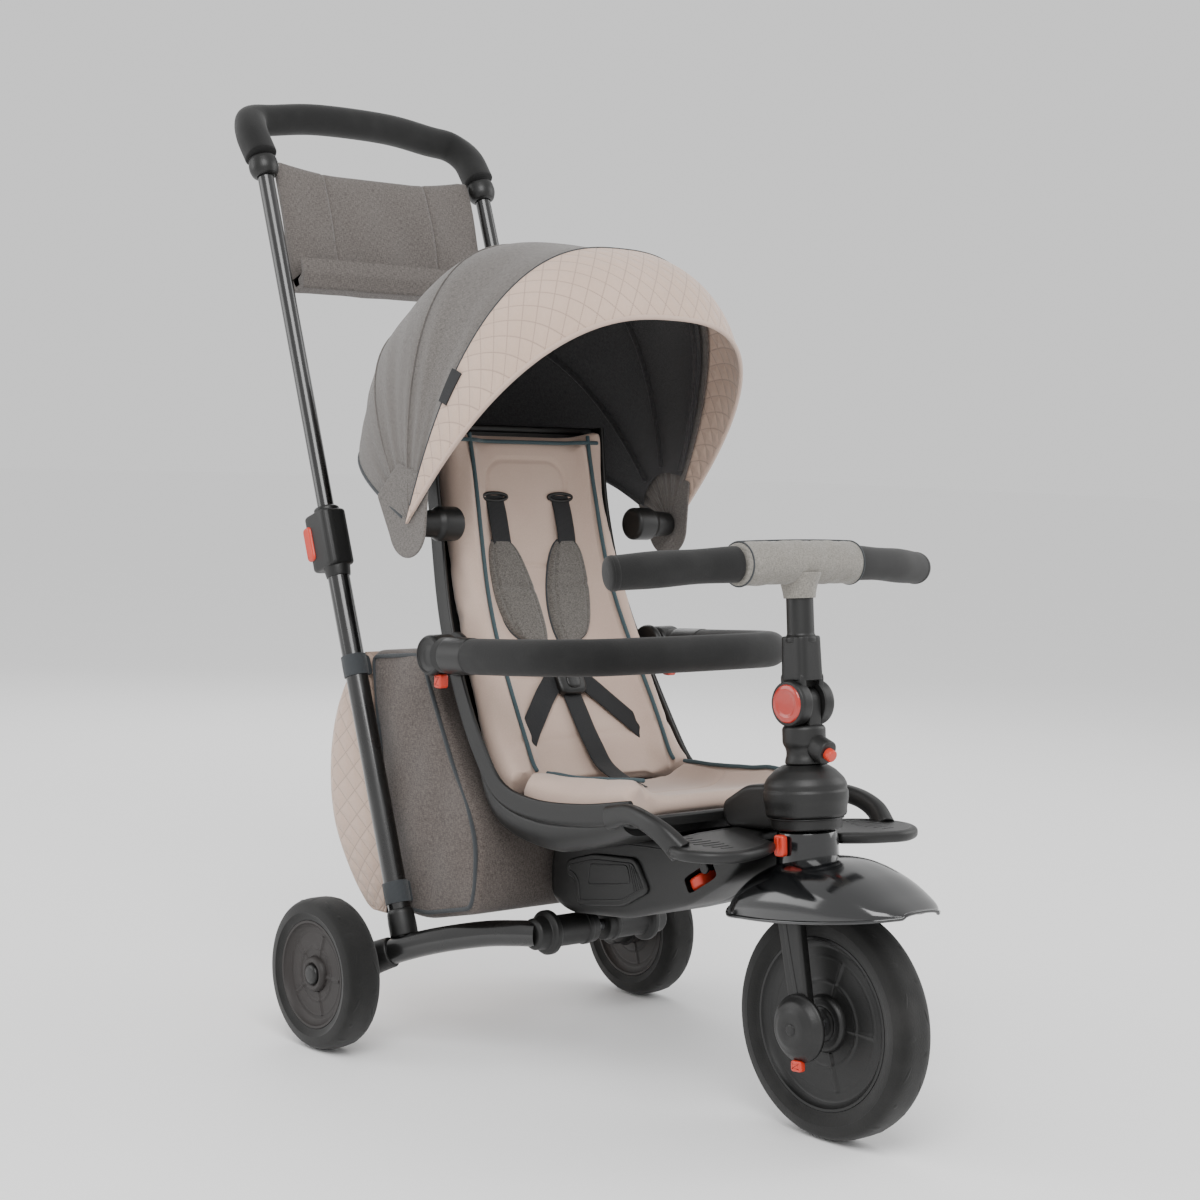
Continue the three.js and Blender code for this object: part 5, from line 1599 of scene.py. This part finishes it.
def fork():
    """The fork: a round neck with the steerer that runs up through the head, a crown with eased corners, two
    legs that taper downwards, the hub covers on the axle's ends and the red clutch tab."""
    neck = fillet([(0, -64), (25, -64), (25, -4), (12, -4), (12, 74), (0, 74)], 2)
    fit(turned("fork_neck", neck, SATIN, STEER, 64), "steering", "satin_black", "fork")
    crown = [(-14, -44), (30, -44), (30, 44), (-14, 44)]
    fit(
        plate("fork_crown", crown, -64.4, -50.6, SATIN, STEER, radius=10, edge=3.5, lying=True),
        "steering",
        "satin_black",
    )
    leg = [(15.5, -200), (39.5, -200), (24, -52.6), (-8, -52.6)]
    for side, s in SIDES:
        low, high = sorted((s * 32.2, s * 43.8))
        fit(
            plate(f"fork_leg_{side}", leg, low, high, SATIN, STEER, radius=9, edge=3),
            "steering",
            "satin_black",
        )
        swell = [(27.5, -178), (38, -184), (38, -198), (27.5, -206), (17, -198), (17, -184)]
        low, high = sorted((s * 34, s * 44.1))
        fit(
            plate(f"fork_foot_{side}", swell, low, high, SATIN, STEER, radius=8, edge=2.5),
            "steering",
            "satin_black",
        )
        groove = np.array([(6, s * 43.8, -74), (14, s * 43.8, -120), (22, s * 43.8, -160)])
        fit(
            swept(
                f"leg_groove_{side}",
                curve(groove, 30),
                squircle(2.6, 0.5, 4, 16),
                SATIN_DARK,
                STEER,
                up=(0, 1, 0),
                round_ends=0.5,
            ),
            "steering",
            "satin_black",
        )
        hub = Bench(STEER(FRONT_AXLE), (0, s, 0))
        base = 44.3
        dome = [
            (0, base), (33, base), (33, base + 4), (30.5, base + 6), (26, base + 11), (22, base + 12.5),
            (17, base + 15), (12, base + 15.6), (6, base + 14.6), (0, base + 14),
        ]
        fit(
            turned(f"hub_dome_{side}", fillet(dome, 2, 5), SATIN, hub, 80),
            "steering",
            "satin_black",
            f"hub_cover_{side}",
        )
        screw = [(0, base + 13), (6, base + 13), (6, base + 15), (4, base + 15.8), (0, base + 15.9)]
        fit(turned(f"hub_screw_{side}", fillet(screw, 1), SATIN_DARK, hub, 32), "steering", "satin_black")
    axle = turned(
        "front_axle_rod",
        [(0, -43), (6, -43), (6, 43), (0, 43)],
        STEEL,
        Bench(STEER(FRONT_AXLE), (0, 1, 0)),
        32,
    )
    fit(axle, "steering", "steel", "front_axle")
    tab = [(20.2, -231), (34.8, -231), (34.2, -220), (20.8, -220)]
    fit(
        plate("clutch_tab", tab, -53.8, -46.2, RED, STEER, radius=3.5, edge=2.2),
        "pedal_clutch",
        "red_plastic",
        "pedal_clutch_tab",
    )


MUDGUARD = (
    (437, 42, 216, 206), (455, 56, 241, 208), (478, 62, 259, 211), (515, 66, 272, 215),
    (560, 66, 276, 221), (600, 61, 267, 227), (635, 46, 251, 233), (655, 24, 241, 237),
)


def mudguard():
    """The guard over the front wheel on a grid: the stations give its half width, crest and edge along it,
    and across it the height rises as a sine to a power. It has a rolled lip all round and a neck round the
    fork's, and the red steering lock sits beside that."""
    stations = curve(np.array(MUDGUARD, float), 90)
    x, wide, crest, edge = (stations[:, k, None] for k in range(4))
    a = np.linspace(0, np.pi, 90)[None]
    y = wide * np.sign(np.cos(a)) * np.abs(np.cos(a)) ** 0.8
    z = edge + (crest - edge) * np.sin(a) ** 0.8
    outer = np.stack([x + 0 * a, y, z], -1)
    centre = np.stack([x + 0 * a, 0 * y, edge + 0 * a - 6], -1)
    inner = outer + unit(centre - outer) * 2.4
    grid = np.concatenate([outer, inner[:, ::-1]], 1)
    hood = surface("mudguard_shell", grid, GLOSS, AXLE, wrap_columns=True, lids=True, sharp=50)
    fit(hood, "steering", "gloss_black", "mudguard")
    lip = np.concatenate([outer[:, 0], outer[-1, 1:-1], outer[::-1, -1], outer[0, ::-1][1:-1]])
    lip = evenly(lip, 260, closed=True)
    fit(swept("mudguard_lip", lip, circle(1.9, 12), GLOSS, AXLE, closed=True), "steering", "gloss_black")
    neck = fillet(
        [(24, -47), (34, -50), (31.5, -40), (30.6, -12), (29, -5), (25.6, -4), (25.6, -47)], 3, 5, closed=True
    )
    fit(turned("mudguard_neck", neck, GLOSS, STEER, 72), "steering", "gloss_black")
    grip = [(-7.6, -27.6), (5.6, -27.6), (5.6, -6.4), (-7.6, -6.4)]
    piece = plate("steering_lever_block", grip, -39.8, -31.9, RED, STEER, radius=4, edge=2.4)
    fit(piece, "steering_lock", "red_plastic", "steering_lock_lever")
    ridge = np.array([(-1, -39.9, -24), (-1, -39.9, -10)])
    fit(
        swept(
            "steering_lever_ridge", evenly(ridge, 10), circle(1.1, 12), RED, STEER, up=(0, 1, 0), round_ends=1
        ),
        "steering_lock",
        "red_plastic",
    )


def stem():
    """The stem: a flared base with its press button, the drum that lets the handlebar fold, and the post."""
    base = fillet(
        [
            (0, 60.6), (19.5, 60.6), (19.5, 64), (17.8, 70), (18.4, 76), (21.5, 81), (21.5, 96),
            (19, 99), (0, 99),
        ],
        2.5,
        5,
    )
    fit(turned("stem_foot", base, SATIN, STEER, 72), "steering", "satin_black", "stem_base")
    low = [(-16.5, 92), (16.5, 92), (17.8, 112), (17.6, 127), (9, 136), (-9, 136), (-17.6, 127), (-17.8, 112)]
    fit(plate("stem_tongue", low, -7.8, 7.8, SATIN, STEER, radius=7, edge=1.6), "steering", "satin_black")
    boss_path = np.array([(8, 0, 82), (30, 0, 72)], float)
    fit(
        swept(
            "button_boss",
            evenly(boss_path, 8),
            squircle(12.4, 11.2, 2.4, 40),
            SATIN,
            STEER,
            up=(0, 1, 0),
            round_ends=2,
        ),
        "steering",
        "satin_black",
    )
    press = np.array([(25, 0, 74.3), (37, 0, 68.9)], float)
    fit(
        swept("stem_press", evenly(press, 6), circle(6.3, 32), RED, STEER, up=(0, 1, 0), round_ends=1.6),
        "stem_lock",
        "red_plastic",
        "stem_button",
    )
    drum = STEER((0, 0, DRUM_AT))
    for side, s in SIDES:
        half = Bench(drum, s * STEER.left)
        profile = fillet(
            [(9, 8.4), (22.6, 8.4), (23, 10), (23, 19), (22, 22), (19.8, 22.4), (0, 22.4)], 1.2, 5
        )
        closed = np.concatenate([[(0, 8.4)], profile])
        fit(turned(f"drum_{side}", closed, SATIN, half, 72), "handlebar_top", "satin_black")
    disc_face = Bench(drum, -STEER.left)
    button = fillet(
        [(0, 20.2), (19.2, 20.2), (19.2, 22.4), (18.2, 23.8), (14, 24.4), (11, 23.6), (0, 23.4)], 1.2, 5
    )
    fit(
        turned("fold_disc", button, DISC_RED, disc_face, 72),
        "handlebar_lock",
        "red_plastic",
        "fold_disc_button",
    )
    socket = fillet([(-16, -16), (16, -16), (16, 16), (-16, 16)], 8, 5, closed=True)
    path = np.array([(0, 0, 144.5), (0, 0, 184.5)], float)
    body = swept(
        "stem_socket",
        evenly(path, 12),
        evenly(socket, 60, closed=True),
        SATIN,
        STEER,
        up=(0, 1, 0),
        scale=np.linspace(1.02, 0.96, 12),
        round_ends=2,
    )
    fit(body, "handlebar_top", "satin_black", "stem_upper")
    for side, s in SIDES:
        cheek = [(-15, 118), (15, 118), (15.4, 150), (-15.4, 150)]
        low, high = sorted((s * 8.8, s * 15.4))
        fit(
            plate(f"stem_cheek_{side}", cheek, low, high, SATIN, STEER, radius=5, edge=1.6),
            "handlebar_top",
            "satin_black",
        )
    post = fillet([(0, 180), (16.4, 180), (16.4, 185), (13.6, 188), (13.4, 262), (0, 262)], 1.5)
    fit(turned("stem_post", post, SATIN, STEER, 56), "handlebar_top", "satin_black")


HALF_BAR = 211


def bar_line(share):
    """The handlebar at shares of its half length: back and down as the square of the share."""
    share = np.asarray(share, float)
    return np.stack([-37 * share**2, HALF_BAR * share, 259 - 7 * share**2], -1)


def handlebar():
    """The bar along its line, and foam grips that swell and narrow by 3% along them, with domed ends."""
    core = swept("bar_core", bar_line(np.linspace(-1, 1, 80)), circle(11, 28), PAINT, STEER)
    fit(core, "handlebar_top", "tube_black", "handlebar")
    for side, s in SIDES:
        share = s * np.linspace(80.6, 212.5, 60) / HALF_BAR
        u = np.linspace(0, 1, 60)
        swell = 1 + 0.03 * np.cos(2 * np.pi * u * 1.5)
        grip = swept(f"grip_foam_{side}", bar_line(share), circle(17.3, 48), GRIP_FOAM, STEER, scale=swell)
        end = bar_line([s * 1.006])[0]
        tangent = unit(end - bar_line([s * 0.99])[0])
        cap_bench = Bench(STEER(end), tangent @ np.stack([STEER.ahead, STEER.left, STEER.up]))
        dome = fillet([(0, -6), (17.2, -6), (17.2, -1), (15.5, 2.4), (10, 4.2), (0, 4.6)], 2.5, 5)
        fit(turned(f"grip_end_{side}", dome, GRIP_FOAM, cap_bench, 48), "handlebar_top", "foam")
        fit(grip, "handlebar_top", "foam", f"grip_{side}")
    sleeve()


def sleeve():
    """The cloth sleeve round the middle of the bar: a round wrap that ripples and closes at its ends, with a
    hem near each, a seam along its top and a skirt down the post."""
    u = np.linspace(-1, 1, 120)[:, None]
    a = np.linspace(0, 2 * np.pi, 96, endpoint=False)[None]
    centre = bar_line(u[:, 0] * 79.6 / HALF_BAR)[:, None]
    ripple = 0.35 * np.sin(11 * u + 2 * a) + 0.25 * np.sin(23 * u - 3 * a)
    ends = np.clip((1 - np.abs(u)) / 0.03, 0, 1) ** 0.5
    radius = 14 + (7.4 + ripple) * ends
    grid = centre + np.stack([radius * np.cos(a), 0 * radius, radius * np.sin(a)], -1)
    wrap = surface("bar_sleeve_cloth", grid, SLEEVE_CLOTH, STEER, wrap_columns=True, lids=True, sharp=60)
    fit(wrap, "handlebar_top", "grey_cloth", "handlebar_sleeve")
    skirt = fillet(
        [(14.2, 224), (15.8, 223.4), (16.6, 230), (18.4, 238), (23, 249), (14.2, 249)], 2.5, 5, closed=True
    )
    fit(turned("sleeve_skirt", skirt, SLEEVE_CLOTH, STEER, 64), "handlebar_top", "grey_cloth")
    for side, s in SIDES:
        hem = (
            bar_line([s * 76.5 / HALF_BAR])[0]
            + np.stack([21.7 * np.cos(a[0]), 0 * a[0], 21.7 * np.sin(a[0])], 1)
        )
        fit(
            swept(f"sleeve_hem_{side}", hem, circle(0.9, 10), EDGING, STEER, up=(0, 1, 0), closed=True),
            "handlebar_top",
            "grey_cloth",
        )
    seam = bar_line(np.linspace(-0.36, 0.36, 60)) + (0, 0, 21.9)
    fit(
        swept("sleeve_seam", seam, circle(0.8, 10), EDGING, STEER, up=(0, 0.02, 1), round_ends=0.6),
        "handlebar_top",
        "grey_cloth",
    )


# ------------------------------------------------------------------ waist bar
BAR_PIVOT = (103, 0, 438)


def waist_bar():
    """The foam-covered bar in front of the child, its knuckles with dished caps, and the red releases."""
    half = [
        (116, 163, 439), (193, 163, 444), (274, 153, 450), (316.75, 119, 453), (328, 63, 454), (329, 0, 454)
    ]
    route = curve(np.array(half + [(x, -y, z) for x, y, z in half[-2::-1]], float), 160)
    fit(swept("waist_bar_foam", route, circle(19, 48), GRIP_FOAM, AXLE), "waist_bar", "foam", "safety_bar")
    for side, s in SIDES:
        hub = Bench(AXLE(BAR_PIVOT), (0, s, 0))
        inner = HANDLE_HALF - 16
        shell = [
            (0, inner + 2), (20, inner + 0.4), (22, inner + 4), (22, inner + 28), (20.6, inner + 31),
            (19, inner + 31.8), (17.4, inner + 30), (12, inner + 28.6), (5, inner + 29.8),
            (0, inner + 30),
        ]
        fit(turned(f"bar_knuckle_{side}", fillet(shell, 1.6, 5), SATIN, hub, 80), "waist_bar", "satin_black")
        ring = [(18.2, inner + 31.2), (19.8, inner + 31.2), (19.8, inner + 32.0), (18.2, inner + 32.0)]
        fit(
            turned(f"knuckle_ring_{side}", fillet(ring, 0.3, closed=True), SATIN_DARK, hub, 80),
            "waist_bar",
            "satin_black",
        )
        collar = swept(
            f"bar_collar_{side}",
            route[3:13] if s > 0 else route[-13:-3],
            circle(19.6, 40),
            SATIN,
            AXLE,
            round_ends=1.5,
        )
        fit(collar, "waist_bar", "satin_black")
        low, high = sorted((s * 157.2, s * 168.8))
        press = [(105.3, 403.4), (117.7, 403.4), (117.7, 418.6), (105.3, 418.6)]
        fit(
            plate(f"bar_press_{side}", press, low, high, RED, AXLE, radius=3.5, edge=2.4),
            f"bar_button_{side}",
            "red_plastic",
            f"bar_release_{side}",
        )


# ------------------------------------------------------------------ canopy
REACH = (
    (48, 296), (55, 311), (62, 318), (70, 318), (80, 312), (92, 313), (105, 308), (118, 294), (130, 279),
    (142, 258), (156, 230),
)
CANOPY = Bench(pivot("canopy_tilt"))
HOOD_HALF = 187.2  # half the hood's width at the pivots
HOOD_POWER = 2.6  # how square the canopy's arch is


def reach_at(angle):
    """How far the canopy's crest is from the pivots at an angle."""
    fine = curve(REACH, 300)
    return np.interp(angle, fine[:, 0], fine[:, 1])


def canopy_point(angle, t, half, grow=0.0):
    """A point of the canopy: its angle about the side pivots, from the front, and its place across it, from
    one side at zero over the top to the other at pi. The arch is a superellipse."""
    e = 2 / HOOD_POWER
    c, s = np.cos(t), np.clip(np.sin(t), 0, 1)
    y = (half + grow) * np.sign(c) * np.abs(c) ** e
    r = (reach_at(angle) + grow) * s**e
    a = np.radians(angle)
    return np.stack([r * np.cos(a), y + 0 * r, r * np.sin(a)], -1)


def canopy():
    """The hood: cloth drawn over ribs, so it stands proud at each and sinks between them, with slack folds low
    on its sides; a lining inside it; the quilted visor ahead, bound at its rim; and the pivot knobs."""
    ribs = np.array([68, 97, 126, 155])
    u = np.linspace(0, 1, 170)[:, None]
    t = np.linspace(0.0, np.pi, 190)[None]
    angle = 66 + (156 - 66) * u + 0 * t
    between = np.sin(np.pi * np.clip((angle - 68) / 29 % 1, 0, 1)) ** 1.3
    low = np.abs(np.cos(t)) ** 2.2
    slack = 0.9 * np.sin(angle / 2.3 + 5 * t) * low + 0.6 * np.sin(angle / 1.4 - 7 * np.cos(t)) * low
    depth = -3.2 * between * np.sin(t) ** 0.6 + slack * 0.8
    outer = canopy_point(angle, t, HOOD_HALF, depth - 0.4)
    inner = canopy_point(angle, t, HOOD_HALF, depth - 2.9)
    grid = np.concatenate([outer, inner[:, ::-1]], 1)
    hood = surface("canopy_hood_cloth", grid, HOOD_CLOTH, CANOPY, wrap_columns=True, lids=True, sharp=60)
    fit(hood, "canopy", "grey_cloth", "canopy_hood")
    lining(ribs)
    visor()
    for k, rib in enumerate(ribs[1:3]):
        line = canopy_point(np.full(140, float(rib)), np.linspace(0.1, np.pi - 0.1, 140), HOOD_HALF, 0.2)
        fit(
            swept(
                f"hood_seam_{k}", line, circle(0.9, 8), HOOD_CLOTH, CANOPY, up=(1, 0.01, 0), round_ends=0.6
            ),
            "canopy",
            "grey_cloth",
        )
    back = canopy_point(np.full(160, 155.6), np.linspace(0.03, np.pi - 0.03, 160), 186.6, -0.8)
    fit(
        swept("hood_back_binding", back, circle(2.3, 12), EDGING, CANOPY, up=(1, 0.01, 0), round_ends=1),
        "canopy",
        "grey_cloth",
    )
    knobs()
    for side, s in SIDES:
        u = np.linspace(0, 1, 24)[:, None]
        t = np.linspace(0.34, 0.47, 30)[None]
        t = t if s > 0 else np.pi - t
        tag_angle = 65.5 + 5.5 * u + 0 * t
        top = canopy_point(tag_angle, t, 191.0, 3.4)
        under = canopy_point(tag_angle, t, 190.0, 2.2)
        tag = surface(
            f"canopy_tag_{side}",
            np.concatenate([top, under[:, ::-1]], 1),
            WEBBING,
            CANOPY,
            wrap_columns=True,
            lids=True,
            sharp=60,
        )
        fit(tag, "canopy", "dark_cloth")


def lining(ribs):
    """The charcoal lining just inside the hood, with a band standing on each hidden rib."""
    u = np.linspace(0, 1, 60)[:, None]
    t = np.linspace(0.12, np.pi - 0.12, 120)[None]
    angle = 67.5 + (154 - 67.5) * u + 0 * t
    outer = canopy_point(angle, t, HOOD_HALF, -7.4)
    inner = canopy_point(angle, t, HOOD_HALF, -8.4)
    piece = surface(
        "canopy_lining",
        np.concatenate([outer, inner[:, ::-1]], 1),
        LINING,
        CANOPY,
        wrap_columns=True,
        lids=True,
        sharp=60,
    )
    fit(piece, "canopy", "dark_cloth")
    for k, rib in enumerate(ribs):
        place = float(np.clip(rib, 69.5, 152.5))
        line = canopy_point(np.full(140, place), np.linspace(0.14, np.pi - 0.14, 140), HOOD_HALF, -9.2)
        band = swept(
            f"rib_band_{k}", line, squircle(4.6, 2.0, 2.4, 20), LINING, CANOPY, up=(1, 0.01, 0), round_ends=1
        )
        fit(band, "canopy", "dark_cloth")


def visor():
    """The visor: quilted cloth between its two rims, from a point near one pivot round to the other."""
    u = np.linspace(0, 1, 90)[:, None]
    t = np.linspace(0.0, np.pi, 190)[None]
    angle = 48.4 + (69.6 - 48.4) * u + 0 * t
    puff = 1.2 * np.sin(np.pi * u) * np.sin(t) ** 0.5
    outer = canopy_point(angle, t, 190.8, puff + 1.6)
    inner = canopy_point(angle, t, 188.6, puff + 0.2)
    grid = np.concatenate([outer, inner[:, ::-1]], 1)
    fan = np.linalg.norm(outer[:, :, [0, 2]], axis=2)
    across = np.radians(angle - 59) * fan
    run = np.concatenate([[0], np.cumsum(np.linalg.norm(np.diff(outer[45], axis=0), axis=1))]) + 0 * across
    cloth = np.stack([across, run], -1)
    cloth = np.concatenate([cloth, cloth[:, ::-1]], 1)
    piece = surface(
        "canopy_visor_cloth", grid, QUILTED, CANOPY, wrap_columns=True, lids=True, sharp=60, cloth=cloth
    )
    fit(piece, "canopy", "beige_cloth", "canopy_visor")
    rim = canopy_point(np.full(200, 48.6), np.linspace(0.03, np.pi - 0.03, 200), 190.4, 1.4)
    fit(
        swept(
            "visor_binding", rim, squircle(2.6, 2.2, 2.4, 16), BEIGE, CANOPY, up=(1, 0.01, 0), round_ends=1
        ),
        "canopy",
        "beige_cloth",
    )
    back = canopy_point(np.full(200, 69.4), np.linspace(0.03, np.pi - 0.03, 200), 190.6, 1.8)
    fit(
        swept("visor_back_seam", back, circle(0.9, 10), EDGING, CANOPY, up=(1, 0.01, 0), round_ends=0.8),
        "canopy",
        "beige_cloth",
    )


def knobs():
    """The pivot knobs, and the rounded flaps of hood cloth that hang over them."""
    for side, s in SIDES:
        hub = Bench(CANOPY((0, 0, 0)), (0, s, 0))
        a = np.radians(np.linspace(200, 350, 16))
        tip = np.stack([-5 + 33 * np.cos(a), -4 + 33 * np.sin(a)], 1)
        corners = np.concatenate([tip, [(31, 50), (-24, 64), (-62, 28)]])
        low, high = sorted((s * 184.4, s * 187.2))
        fit(
            plate(
                f"canopy_flap_{side}", corners, low, high, HOOD_CLOTH, CANOPY, radius=4, edge=1.3, sharp=60
            ),
            "canopy",
            "grey_cloth",
        )
        body = [(0, 124), (15, 124), (18.6, 127), (18.8, 150), (15, 156), (13.5, 181), (0, 183)]
        fit(
            turned(f"canopy_pivot_{side}", fillet(body, 2, 5), SATIN, hub, 56),
            "canopy",
            "satin_black",
            f"canopy_knob_{side}",
        )


# ------------------------------------------------------------------ everything
studio()
wheels()
rear_frame()
uprights()
push_handle()
handle_bag()
storage_bag()
seat_shell()
seat_pads()
harness()
housing()
footrest()
steering_head()
fork()
mudguard()
stem()
handlebar()
waist_bar()
canopy()
